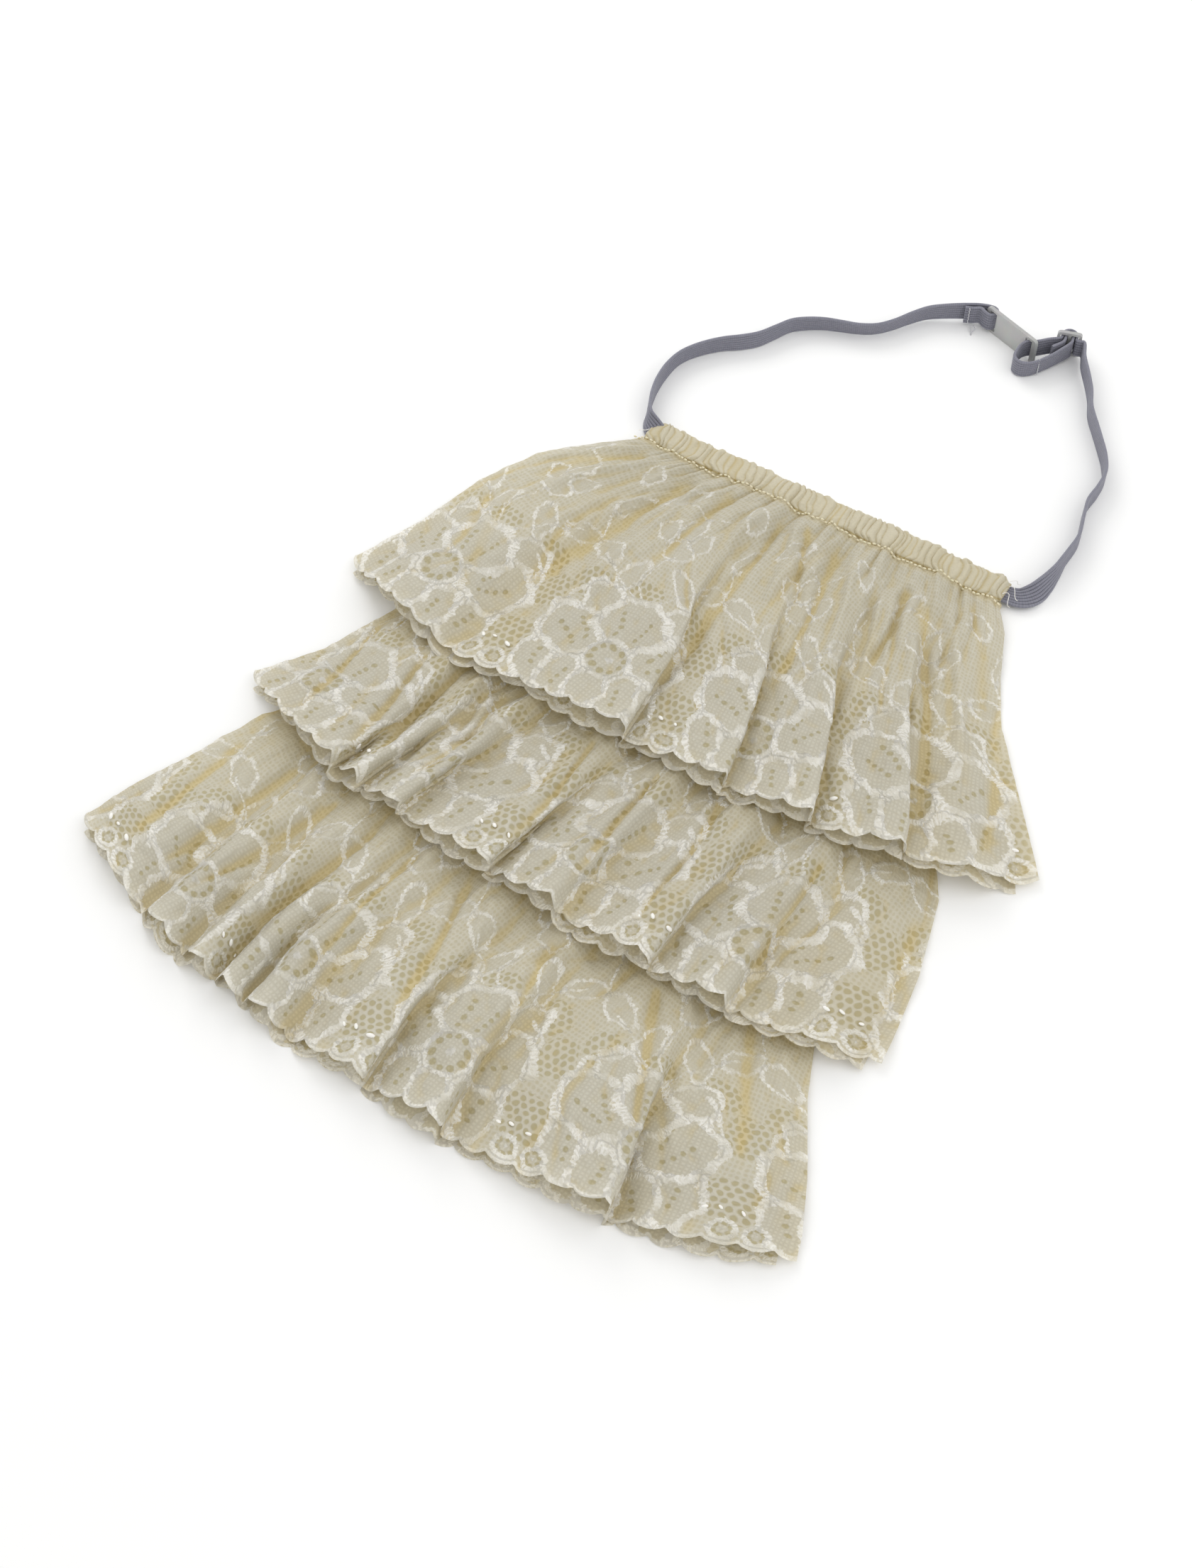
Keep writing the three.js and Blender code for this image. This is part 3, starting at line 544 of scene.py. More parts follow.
FRILLS = {
    "tier_top": {
        "seam_height": 2.4,
        "hem_height": 9,
        "power": 1.1,
        "fold_from": 0.12,
        "fold_full": 0.7,
        "round": 4,
        "gathers": {"count": 17, "high": 1.7, "reach": 0.42},
        "depth": 125,
        "first_flower": 112,
        "seen_from": 0.0,
        "outline": table(
            "v left_x left_y right_x right_y sag",
            (0.0, -77, -10.2, 76, -10.2, 0),
            (0.12, -88, -17, 83, -20, 4),
            (0.3, -105, -35, 91, -39, 9),
            (0.5, -115, -57, 101, -58, 14),
            (0.75, -121, -87, 119, -81, 20),
            (1.0, -131, -115, 139, -107, 26),
        ),
        "folds": table(
            "low rise up fall high",
            (-131, -116, 0.55, -88, 0.7),
            (-74, -52, 0.5, 1, 1.05),
            (-3, 10, 0.35, 39, 0.9),
            (35, 52, 0.6, 70, 1.05),
            (66, 80, 0.4, 101, 1.05),
            (98, 114, 0.25, 126, 0.45),
        ),
        "ends": {"left_up": 0.15, "right_x": 139, "right_up": 0.1},
        "bed": table(
            "y z left right",
            (-9, 1.3, -74, 74),
            (-70, 5.4, -86, 86),
            (-137, 10.7, -107, 117),
        ),
    },
    "tier_middle": {
        "seam_height": 2.4,
        "hem_height": 9,
        "power": 1.6,
        "fold_from": 0.4,
        "fold_full": 0.85,
        "round": 4,
        "gathers": {"count": 15, "high": 0.8, "reach": 0.3},
        "depth": 125,
        "first_flower": 20,
        "seen_from": 0.38,
        "outline": table(
            "v left_x left_y right_x right_y sag",
            (0.0, -84, -80, 84, -80, 0),
            (0.45, -105, -128, 115, -131, 5),
            (0.7, -114, -155, 123, -160, 10),
            (1.0, -128, -177, 128, -192, 19),
        ),
        "folds": table(
            "low rise up fall high",
            (-128, -115, 0.55, -77, 0.9),
            (-79, -72, 0.45, -65, 0.9),
            (-67, -58, 0.45, -47, 1.05),
            (-50, -38, 0.4, -9, 0.95),
            (-13, -2, 0.4, 16, 1.05),
            (17, 40, 0.85, 53, 1.05),
            (51, 60, 0.4, 79, 0.95),
            (80, 98, 0.2, 116, 0.2),
        ),
        "ends": {"left_up": 0.2, "right_x": 128, "right_up": 0.05},
        "bed": table(
            "y z left right",
            (-80, 1.4, -83, 83),
            (-150, 5.5, -93, 93),
            (-207, 6.7, -114, 112),
        ),
    },
    "tier_bottom": {
        "seam_height": 2.4,
        "hem_height": 11.5,
        "power": 1.7,
        "fold_from": 0.3,
        "fold_full": 0.8,
        "round": 3,
        "gathers": {"count": 15, "high": 0.8, "reach": 0.3},
        "depth": 130,
        "first_flower": 56,
        "seen_from": 0.36,
        "outline": table(
            "v left_x left_y right_x right_y sag",
            (0.0, -92, -160, 92, -160, 0),
            (0.3, -115, -190, 107, -198, 4),
            (0.5, -122, -212, 115, -217, 10),
            (0.75, -132, -236, 128, -240, 16),
            (1.0, -137, -255, 138, -262, 26),
        ),
        "folds": table(
            "low rise up fall high",
            (-137, -128, 0.6, -108, 0.7),
            (-99, -91, 0.8, -84, 0.95),
            (-78, -71, 0.85, -65, 1.05),
            (-63, -58, 0.7, -52, 0.85),
            (-50, -45, 0.8, -38, 1.0),
            (-33, -22, 0.4, 1, 0.95),
            (-2, 9, 0.45, 29, 1.05),
            (28, 44, 0.4, 87, 1.05),
            (83, 97, 0.4, 126, 0.55),
        ),
        "ends": {"left_up": 0.15, "right_x": 138, "right_up": 0.1},
        "bed": table(
            "y z left right",
            (-160, 1.4, -92, 92),
            (-167, 1.4, -93, 93),
            (-186, 0, -104, 104),
        ),
    },
}

WALL = 1.2  # the solids' cloth wall; the shell runs along its middle

# Creases in the cloth, seen from above: a line of x, y points, how wide the crease
# is and how far it lifts (a trough is below zero).
CREASES = {
    "tier_top": table(
        "line wide lift",
        ([(-60, -13), (-80, -38), (-97, -62), (-105, -90)], 2.5, 1.2),
        ([(-52, -13), (-66, -38), (-76, -62), (-80, -84)], 2.2, 0.9),
        ([(-66, -15), (-88, -32), (-100, -50)], 3.0, -0.9),
        ([(-47, -14), (-56, -45), (-64, -75), (-70, -100)], 4.5, -1.8),
        ([(-41, -14), (-46, -50), (-52, -85)], 2.5, 1.3),
        ([(-30, -14), (-33, -40), (-36, -70)], 2.6, -1.0),
        ([(-18, -14), (-17, -40), (-12, -62)], 2.4, 0.9),
        ([(-9, -14), (-7, -40), (-5, -80), (-3, -120)], 2.2, -1.0),
        ([(-3, -16), (4, -40), (8, -60)], 2.0, 0.9),
        ([(1, -14), (8, -34), (15, -52)], 1.8, -1.1),
        ([(14, -14), (20, -40), (26, -70), (30, -100)], 2.6, -1.2),
        ([(21, -14), (30, -40), (40, -75), (45, -105)], 2.4, 1.2),
        ([(33, -14), (41, -36), (50, -64), (56, -92)], 2.0, 1.2),
        ([(45, -20), (50, -45), (52, -66)], 1.8, -1.8),
        ([(52, -22), (62, -42), (76, -66), (90, -96), (97, -118)], 3.2, -1.6),
        ([(58, -16), (76, -44), (90, -70), (104, -100)], 2.6, 1.3),
        ([(66, -14), (82, -36), (94, -62)], 2.8, -0.7),
        ([(-108, -60), (-100, -90), (-98, -112)], 3.0, -0.8),
        ([(-20, -70), (-24, -95), (-26, -125)], 4.0, 0.6),
        ([(108, -75), (116, -98), (122, -118)], 4.0, -0.8),
    ),
    "tier_middle": table(
        "line wide lift",
        ([(-104, -135), (-100, -165), (-100, -190)], 2.0, -0.9),
        ([(-79, -140), (-76, -170), (-76, -198)], 2.0, -1.2),
        ([(-66, -138), (-68, -165), (-66, -196)], 1.8, -1.0),
        ([(-58, -138), (-55, -160), (-57, -190)], 2.2, 0.8),
        ([(-48, -138), (-46, -165), (-52, -195)], 2.0, -1.1),
        ([(-28, -140), (-30, -160), (-26, -185)], 3.0, 0.6),
        ([(-10, -140), (-8, -170), (-10, -200)], 1.8, -1.2),
        ([(2, -140), (2, -165), (0, -190)], 3.0, 0.5),
        ([(16, -140), (15, -170), (16, -202)], 1.8, -1.3),
        ([(38, -135), (41, -165), (40, -200)], 1.8, -1.1),
        ([(50, -140), (52, -170), (50, -200)], 2.0, 0.7),
        ([(78, -140), (79, -165), (80, -198)], 2.0, -1.2),
        ([(92, -140), (100, -160), (104, -190)], 4.0, 0.6),
        ([(112, -140), (118, -165), (120, -185)], 3.0, -0.6),
    ),
    "tier_bottom": table(
        "line wide lift",
        ([(-112, -200), (-114, -225), (-118, -262)], 3.0, -0.9),
        ([(-90, -200), (-96, -225), (-104, -262)], 2.4, -1.2),
        ([(-80, -200), (-86, -225), (-92, -262)], 2.2, 0.8),
        ([(-70, -203), (-78, -230), (-88, -268)], 2.0, -1.2),
        ([(-56, -203), (-64, -225), (-74, -265)], 2.2, 0.9),
        ([(-52, -205), (-58, -232), (-66, -270)], 1.8, -1.2),
        ([(-44, -205), (-46, -235), (-48, -275)], 2.0, 1.0),
        ([(-36, -205), (-38, -235), (-38, -275)], 2.0, -1.2),
        ([(-26, -205), (-26, -230), (-22, -262)], 3.0, 0.6),
        ([(-16, -207), (-10, -232), (-4, -270)], 2.2, -1.2),
        ([(-6, -207), (4, -232), (14, -260)], 2.6, 0.7),
        ([(20, -210), (24, -235), (24, -278)], 2.2, -1.2),
        ([(32, -208), (34, -235), (40, -262)], 2.4, 0.7),
        ([(56, -208), (66, -230), (80, -262)], 2.4, -1.3),
        ([(68, -206), (80, -232), (92, -262)], 2.6, 0.7),
        ([(86, -200), (96, -222), (112, -252)], 3.4, -0.9),
        ([(100, -202), (112, -228), (126, -258)], 2.6, 0.7),
    ),
}


HEM = {
    "trough": 0.25,  # how far the flat of a trough reaches towards the next rise
    "brow": 3,  # from a fold's highest corner to its edge, mm
    "edge": 0.85,  # how high that edge is, as a share of the fold
    "steps": 24,  # points of the curve for each corner
}


def hem_curve(frill):
    """The hem as a soft curve that its corners pull on: x, height share, run in mm."""
    corners = []
    for i, fold in enumerate(frill["folds"]):
        if i == 0:
            corners.append((fold["low"], frill["ends"]["left_up"]))
        else:
            corners.append((fold["low"], 0))
            corners.append((fold["low"] + (fold["rise"] - fold["low"]) * HEM["trough"], 0))
        corners.append((fold["rise"], fold["up"]))
        corners.append((fold["fall"] - HEM["brow"], fold["high"]))
        corners.append((fold["fall"], fold["high"] * HEM["edge"]))
    corners.append((frill["ends"]["right_x"], frill["ends"]["right_up"]))
    corners = np.array(corners, float)
    pulls = np.vstack([2 * corners[0] - corners[1], corners, 2 * corners[-1] - corners[-2]])
    t = np.linspace(0, 1, HEM["steps"], endpoint=False)[:, None]
    weights = [(1 - t) ** 3, 3 * t**3 - 6 * t * t + 4, -3 * t**3 + 3 * t * t + 3 * t + 1, t**3]
    spans = []
    for i in range(len(corners) - 1):
        spans.append(sum(w * pulls[i + k] for k, w in enumerate(weights)) / 6)
    end = (pulls[-3] + 4 * pulls[-2] + pulls[-1]) / 6
    points = np.vstack([*spans, end])
    step = np.diff(points, axis=0)
    legs = np.hypot(step[:, 0], step[:, 1] * frill["hem_height"])
    run = np.concatenate([[0], np.cumsum(legs)])
    return points[:, 0], points[:, 1], run


def bed_height(frill, x, y, left_x, right_x):
    """How high the cloth under a frill lifts it, fading out past that cloth's sides."""
    high, left, right = look_up(frill["bed"], "y", y, "z", "left", "right")
    fade = 12
    right_fade = 1 - smooth(right + 1, np.maximum(right + fade, right_x - 1), x)
    left_fade = 1 - smooth(-left + 1, np.maximum(-left + fade, -left_x - 1), -x)
    return high * np.minimum(right_fade, left_fade)


def puffs(at, edges, heights):
    """Rounded puffs between uneven creases: 0 in a crease, its height half way across."""
    k = np.clip(np.searchsorted(edges, at) - 1, 0, len(heights) - 1)
    t = np.clip((at - edges[k]) / (edges[k + 1] - edges[k]), 0, 1)
    return heights[k] * (1 - np.abs(2 * t - 1) ** 2.4), k


def uneven_edges(start, end, count, spread, rng):
    """The edges of side by side strips of uneven width."""
    widths = 1 + spread * rng.uniform(-1, 1, count)
    return start + (end - start) * np.concatenate([[0], np.cumsum(widths)]) / widths.sum()


def seam_gathers(gathers, share, v):
    """Plump gathers under the seam, each with its own width, height and length, and
    small puckers between them close to the stitches."""
    rng = np.random.default_rng(gathers["count"])
    total = np.zeros_like(share)
    for more, high, reach in ((1, 1, 1), (2.7, 0.35, 0.4)):
        count = int(gathers["count"] * more)
        edges = uneven_edges(0, 1, count, 0.55, rng)
        heights = gathers["high"] * high * rng.uniform(0.5, 1.5, count)
        lengths = gathers["reach"] * reach * rng.uniform(0.5, 1.4, count)
        raised, k = puffs(share, edges, heights)
        total += raised * (1 - smooth(0.15, 1, v / lengths[k]))
    return total


# The ranges that the small creases are drawn from: millimetres, but for the slope "lean".
SMALL_CREASES = {
    "count": 56,
    "from_hem": (-12, 75),
    "length": (30, 95),
    "lean": (-0.4, 0.4),
    "wide": (1.4, 4.4),
    "lift": (-1.2, 0.8),
    "waver": (9, 16),
}


def crease_section(off, steep):
    """A soft ridge and the dip on its steeper side, from how far off its line a point is."""
    return np.exp(-off * off), steep * np.exp(-(((off - 1.7) / 1.3) ** 2))


def small_creases(u, w, seed):
    """Short uneven creases that run down the cloth, each with one steeper side, and how
    deep in a crease each point lies."""
    rng = np.random.default_rng(seed)
    lift = np.zeros_like(u)
    deep_in = np.zeros_like(u)
    for _ in range(SMALL_CREASES["count"]):
        at = rng.uniform(0, u.max())
        low, length, lean, wide, deep, waver = [
            rng.uniform(*SMALL_CREASES[key])
            for key in ("from_hem", "length", "lean", "wide", "lift", "waver")
        ]
        centre = at + lean * (w - low) + 2 * np.sin((w - low) / waver + at)
        fade_in = smooth(low, low + 0.3 * length, w)
        fade = fade_in * (1 - smooth(low + 0.6 * length, low + length, w))
        bell, beside = crease_section((u - centre) / wide, 0.5)
        lift += deep * fade * (bell - beside)
        deep_in = np.maximum(deep_in, 0.4 * fade * bell**2 * max(0, -deep))
    return lift, deep_in


def crease_lift(x, y, creases):
    """Soft troughs and ridges along the crease lines, with one steeper side and fading at
    both ends, and how deep in a trough each point lies."""
    lift = np.zeros_like(x)
    deep_in = np.zeros_like(x)
    for crease in creases:
        line = np.array(crease["line"], float)
        legs = np.linalg.norm(np.diff(line, axis=0), axis=1)
        starts = np.concatenate([[0], np.cumsum(legs)])
        near = np.full(x.shape, 1e9)
        where = np.zeros_like(x)
        side = np.ones_like(x)
        for k, leg in enumerate(legs):
            way = (line[k + 1] - line[k]) / leg
            dx, dy = x - line[k, 0], y - line[k, 1]
            t = np.clip(dx * way[0] + dy * way[1], 0, leg)
            far = np.hypot(dx - t * way[0], dy - t * way[1])
            closer = far < near
            near = np.where(closer, far, near)
            where = np.where(closer, (starts[k] + t) / starts[-1], where)
            side = np.where(closer, np.sign(dx * way[1] - dy * way[0]), side)
        fade = smooth(0, 0.12, where) * (1 - smooth(0.72, 1, where))
        wide = crease["wide"] * (1 + 0.3 * np.sin(7 * where + line[0, 0]))
        bell, beside = crease_section(side * near / wide, 0.6)
        lift += crease["lift"] * fade * (1.4 * bell - beside)
        deep_in = np.maximum(deep_in, fade * bell**3 * min(1, max(0, -crease["lift"])))
    return lift, deep_in


LOBE = {"pitch": 10.0, "deep": 2.2, "from": 0.93}  # scallops along each hem

# Heights of what the cloth does besides its folds, in millimetres.
DRAPE = {
    "crease": 1.15,  # what the listed creases are multiplied by
    "crumple": 0.55,
    "bump": 0.35,
    "small_bump": 0.2,
    "flutter": 0.5,  # the hem's own small waves
    "tuck": 2.4,  # how far the gathered edge goes into the seam
    "tuck_share": 0.012,  # and the share of the frill's depth that does
}


def lobe(u):
    """A row of scallops, 0 between them and 1 at each one's middle."""
    return np.abs(np.sin(math.pi * u / LOBE["pitch"])) ** 0.6


def scallop(u, v):
    """How far the hem hangs out past its line."""
    return LOBE["deep"] * lobe(u) * smooth(LOBE["from"], 1, v)


def frill_surface(name, share, v, frill=None):
    """Middle of the cloth wall: share runs along the hem, v from the seam to the hem. Also
    the place on the flat cloth and how deep in a crease it lies."""
    frill = frill or FRILLS[name]
    hem_x, hem_up, hem_run = hem_curve(frill)
    at_x = np.interp(share * hem_run[-1], hem_run, hem_x)
    at_up = np.interp(share * hem_run[-1], hem_run, hem_up)
    hem = frill["outline"][-1]
    ends = ("left_x", "left_y", "right_x", "right_y", "sag")
    left_x, left_y, right_x, right_y, sag = look_up(frill["outline"], "v", v, *ends)
    folded = (at_x - hem["left_x"]) / (hem["right_x"] - hem["left_x"])
    blend = smooth(frill["fold_from"], frill["fold_full"], v)
    across = share + (folded - share) * blend
    x = left_x + (right_x - left_x) * across
    y = left_y + (right_y - left_y) * across
    y -= sag * (1 - np.abs(2 * across - 1) ** frill["round"])
    rise = frill["hem_height"] - frill["seam_height"]
    height = frill["seam_height"] + rise * v ** frill["power"]
    gather = seam_gathers(frill["gathers"], share + 0.012 * v * np.sin(23 * share), v)
    u = share * hem_run[-1]
    w = (1 - v) * frill["depth"]
    z = bed_height(frill, x, y, left_x, right_x) + at_up * height + gather
    big, deep_big = crease_lift(x, y, CREASES[name])
    small, deep_small = small_creases(u, w, frill["first_flower"])
    crumple = np.abs(wander(u, w * 0.6, 15, 12)) ** 0.7
    z += DRAPE["crease"] * big + small + DRAPE["crumple"] * crumple
    z += DRAPE["small_bump"] * wander(u, w, 7, 5) + DRAPE["bump"] * wander(u, w, 21, 8)
    # the low parts of the hem's folds count as deep, for their painted shade
    low = 0.35 * blend * (1 - smooth(0, 0.5, at_up))
    deep_in = np.maximum(deep_big, deep_small) + low
    waves = np.sin(2 * math.pi * u / 17 + 2 * np.sin(u / 31))
    flutter = DRAPE["flutter"] * smooth(0.82, 1, v) * waves
    tucked = 1 - smooth(0, DRAPE["tuck_share"], v)
    y = y - scallop(u, v) + DRAPE["tuck"] * tucked
    z = np.maximum(z + flutter, 0) * (1 - 0.5 * tucked) + WALL / 2
    return np.stack([x, y, z], -1), u, w, deep_in


# ---- the lace drawn on the flat cloth --------------------------------------
# One repeat, u along the hem and w up from it, centred on a flower. Each petal is an
# oval with half sizes a and b, turned in degrees, with a satin rim of that width.

REPEAT = 80.0

PETALS = table(
    "u w a b turn rim fill",
    (-16.8, 43.2, 11.4, 8.4, -48, 2.0, 9),
    (19.2, 44.4, 11.4, 8.4, 50, 2.0, 9),
    (24, 10.2, 7.4, 12, -16, 2.5, 9),
    (-24, 10.2, 7.4, 12, 16, 2.5, 9),
    (12, 7, 7.1, 10.1, -8, 2.4, 9),
    (-12, 7, 7.1, 10.1, 8, 2.4, 9),
    (0, 5.8, 7, 8.9, 0, 2.4, 9),
    (20.4, 29.4, 14.4, 11.5, 26, 3.1, 9),
    (-20.4, 28.2, 14.4, 11.5, -22, 3.1, 9),
    (1.2, 38.4, 15.6, 11.5, 4, 3.3, 9),
)

# A ring has a satin rim, a boss in its middle and a ring of pin holes between them.
EYE = {"radius": 9.6, "rim": 2.0, "ring": 6.0, "holes": 10, "hole": 1.3, "boss": 3.0}
HEM_RING = {"radius": 4.5, "rim": 1.8, "ring": 2.5, "holes": 6, "hole": 0.95, "boss": 1.0}

RINGS = [
    {"u": 0, "w": 21, "in_scallop": False, **EYE},
    {"u": 35, "w": 3.8, "in_scallop": True, **HEM_RING},
    {"u": 45, "w": 3.8, "in_scallop": True, **HEM_RING},
]

LEAVES = table(
    "u w a b turn rim fill",
    (-12, 60, 8.5, 4.6, 62, 1.4, 0.05),
    (14, 63, 9.5, 4.8, -52, 1.4, 0.05),
    (31, 69, 9.0, 4.4, 18, 1.3, 0.05),
    (-30, 67, 9.5, 4.6, -24, 1.3, 0.05),
    (1, 79, 7.5, 5.4, 8, 1.4, 0.05),
    (-1, 91, 5.5, 6.5, 0, 1.3, 0.05),
    (10, 86, 6.0, 4.6, 35, 1.3, 0.05),
    (-11, 86, 6.0, 4.6, -35, 1.3, 0.05),
    (38, 91, 8.0, 4.0, 70, 1.2, 0.05),
    (-24, 103, 8.5, 4.2, 40, 1.2, 0.05),
    (22, 107, 8.5, 4.2, -40, 1.2, 0.05),
)

STEMS = table(
    "line wide",
    ([(-2, 49), (-6, 57), (-3, 71), (1, 75)], 1.1),
    ([(4, 49), (12, 57), (22, 65), (30, 69)], 1.0),
    ([(-8, 51), (-20, 59), (-30, 65)], 1.0),
    ([(40, 71), (36, 81), (38, 91)], 0.9),
    ([(0, 97), (-10, 101), (-22, 102)], 0.9),
    ([(0, 97), (10, 103), (20, 106)], 0.9),
    ([(29, 17), (33, 28), (32, 43), (23, 50)], 1.9),
    ([(-29, 17), (-33, 30), (-31, 45), (-19, 51)], 1.9),
)

COMBS = table(
    "u w a b",
    (40, 15, 11, 9),
    (40, 40, 7, 9),
    (-26, 50, 9, 7),
    (27, 53, 9, 7),
    (-2, 55, 9, 5),
    (25, 33, 5, 6),
    (-25, 33, 5, 6),
)

PIN_LINES = table(
    "line holes hole",
    ([(-16.8, 22.8), (-25.2, 28.8)], 4, 1.0),
    ([(-14.4, 26.4), (-19.2, 34.8)], 4, 1.0),
    ([(16.8, 22.8), (25.2, 30)], 4, 1.0),
    ([(14.4, 27.6), (18, 37.2)], 4, 1.0),
    ([(-3.6, 32.4), (-4.8, 42)], 4, 1.0),
    ([(4.8, 32.4), (7.2, 42)], 4, 1.0),
    ([(-22.8, 7.2), (-24, 14.4)], 3, 0.95),
    ([(22.8, 7.2), (24, 14.4)], 3, 0.95),
    ([(-12, 3.6), (-10.8, 9.6)], 3, 0.95),
    ([(12, 3.6), (10.8, 9.6)], 3, 0.95),
)

# Knots over the hem's rings: u and w, and their own sizes in millimetres.
PICOTS = [(33, 10.6), (37.5, 11.6), (44, 10.8)]
PICOT = {"half_width": 0.68, "smallest": 0.65, "stand": 0.4}


def oval(u, w, shape):
    """Distance to an oval's edge in mm, below zero inside, and the way round it."""
    turn = math.radians(shape["turn"])
    du = u - shape["u"]
    dw = w - shape["w"]
    along = du * math.cos(turn) + dw * math.sin(turn)
    over = -du * math.sin(turn) + dw * math.cos(turn)
    reach = np.hypot(along / shape["a"], over / shape["b"])
    way = np.arctan2(over, along)
    wavy = 1 + 0.05 * np.cos(5 * way + shape["u"]) + 0.03 * np.cos(11 * way + shape["w"])
    run = np.arctan2(over / shape["b"], along / shape["a"]) * (shape["a"] + shape["b"]) / 2
    return (reach / wavy - 1) * min(shape["a"], shape["b"]), run


def from_line(u, w, line):
    """Distance to a line of points in mm, and the way along it."""
    near = np.full(u.shape, 1e9)
    run = np.zeros_like(u)
    done = 0.0
    for (u0, w0), (u1, w1) in zip(line, line[1:]):
        length = math.hypot(u1 - u0, w1 - w0)
        along = np.clip(((u - u0) * (u1 - u0) + (w - w0) * (w1 - w0)) / length, 0, length)
        far = np.hypot(u - u0 - along * (u1 - u0) / length, w - w0 - along * (w1 - w0) / length)
        run = np.where(far < near, done + along, run)
        near = np.minimum(near, far)
        done += length
    return near, run


def outlined(drawn, line, inside, run):
    """Adds one satin line to the lace. Inside a closed shape nothing older shows."""
    drawn["stroke"] = np.where(inside | (line > drawn["gimp"]), run, drawn["stroke"])
    drawn["gimp"] = np.where(inside, line, np.maximum(drawn["gimp"], line))


def draw_shapes(drawn, local, up, uneven):
    """Leaves and petals, which are filled, and stems."""
    for leaf in LEAVES + PETALS:
        far, run = oval(local, up, leaf)
        line = uneven * leaf["rim"] / 2 - np.abs(far)
        outlined(drawn, line, far < -leaf["rim"] / 2, run)
        drawn["cloth"] = np.maximum(drawn["cloth"], np.minimum(-far, leaf["fill"]))
    for stem in STEMS:
        far, run = from_line(local, up, stem["line"])
        outlined(drawn, uneven * stem["wide"] / 2 - far, False, run)


def draw_rings(drawn, local, up, flower_at):
    """The flower's eye and the rings of the hem, each in the middle of its scallop."""
    half = LOBE["pitch"] / 2
    for ring in RINGS:
        moved = (2 * half - flower_at - ring["u"]) % LOBE["pitch"] - half
        middle = ring["u"] + (moved if ring["in_scallop"] else 0)
        beside = (local - middle + REPEAT / 2) % REPEAT - REPEAT / 2
        far = np.hypot(beside, up - ring["w"])
        turn = np.arctan2(up - ring["w"], beside)
        rim = ring["rim"] / 2 - np.abs(far - ring["radius"] + ring["rim"] / 2)
        outlined(drawn, rim, far < ring["radius"] - ring["rim"], turn * ring["radius"])
        drawn["gimp"] = np.maximum(drawn["gimp"], ring["boss"] / 2 - far)
        drawn["cloth"] = np.where(far < ring["radius"], ring["radius"] - far, drawn["cloth"])
        spoke = 2 * math.pi / ring["holes"]
        off_spoke = (turn % spoke - spoke / 2) * far
        hole = np.hypot(far - ring["ring"], off_spoke) - ring["hole"]
        drawn["pin"] = np.minimum(drawn["pin"], hole)


def draw_pin_lines(drawn, local, up):
    """Short rows of pin holes in the petals."""
    for pins in PIN_LINES:
        (u0, w0), (u1, w1) = pins["line"]
        for t in np.linspace(0, 1, pins["holes"]):
            far = np.hypot(local - u0 - (u1 - u0) * t, up - w0 - (w1 - w0) * t)
            drawn["pin"] = np.minimum(drawn["pin"], far - pins["hole"])


def draw_combs(drawn, local, up):
    """The patches of honeycomb net."""
    for patch in COMBS:
        du = np.minimum(np.abs(local - patch["u"]), np.abs(local - patch["u"] + REPEAT))
        reach = np.hypot(du / patch["a"], (up - patch["w"]) / patch["b"])
        drawn["comb"] = np.maximum(drawn["comb"], (1 - reach) * 8)


def draw_lace(u, w, flower_at):
    """For each point of the flat cloth: how far it lies inside the satin outline, the
    cloth stitch and the honeycomb, and how far from the nearest pin hole's edge."""
    wob = np.stack([wander(u, w, 16, 21), wander(u, w, 16, 22)])
    local = (u - flower_at + REPEAT / 2 + wob[0]) % REPEAT - REPEAT / 2
    up = w + wob[1] * smooth(4, 10, w)
    uneven = 1 + 0.28 * wander(u, w, 7, 23)
    far_off = 9.0
    drawn = {key: np.full(u.shape, -far_off) for key in ("gimp", "cloth", "comb")}
    drawn["pin"] = np.full(u.shape, far_off)
    drawn["stroke"] = u.copy()
    draw_shapes(drawn, local, up, uneven)
    draw_rings(drawn, local, up, flower_at)
    draw_pin_lines(drawn, local, up)
    draw_combs(drawn, local, up)
    from_hem = w + LOBE["deep"] * lobe(u)
    outlined(drawn, 0.8 - np.abs(from_hem - 0.7), False, u)
    drawn["cloth"] = np.maximum(drawn["cloth"], 1.6 - from_hem)
    return drawn


GIMP_RAISE = 0.3  # how far the satin outline stands up from the net, mm


def softened(points, reach):
    """The surface averaged over a few neighbours each way."""
    for axis in (0, 1):
        before = np.repeat(points.take([0], axis), reach + 1, axis)
        after = np.repeat(points.take([-1], axis), reach, axis)
        padded = np.concatenate([before, points, after], axis)
        total = np.cumsum(padded, axis)
        count = points.shape[axis]
        upper = total.take(np.arange(2 * reach + 1, 2 * reach + 1 + count), axis)
        points = (upper - total.take(np.arange(count), axis)) / (2 * reach + 1)
    return points


ABOVE = {"tier_middle": "tier_top", "tier_bottom": "tier_middle"}
SHELTER = 7  # how far the shade reaches out from under a hem, mm


def sheltered(name, points):
    """How much the frill above shades this one, most under its hem."""
    if name not in ABOVE:
        return np.zeros(points.shape[:2])
    hem = FRILLS[ABOVE[name]]["outline"][-1]
    s = np.linspace(0, 1, 60)
    x = hem["left_x"] + (hem["right_x"] - hem["left_x"]) * s
    sag = hem["sag"] * (1 - np.abs(2 * s - 1) ** FRILLS[ABOVE[name]]["round"])
    y = hem["left_y"] + (hem["right_y"] - hem["left_y"]) * s - sag
    past = np.interp(points[..., 0], x, y) - points[..., 1]
    return np.exp(-np.maximum(past, 0) / SHELTER)


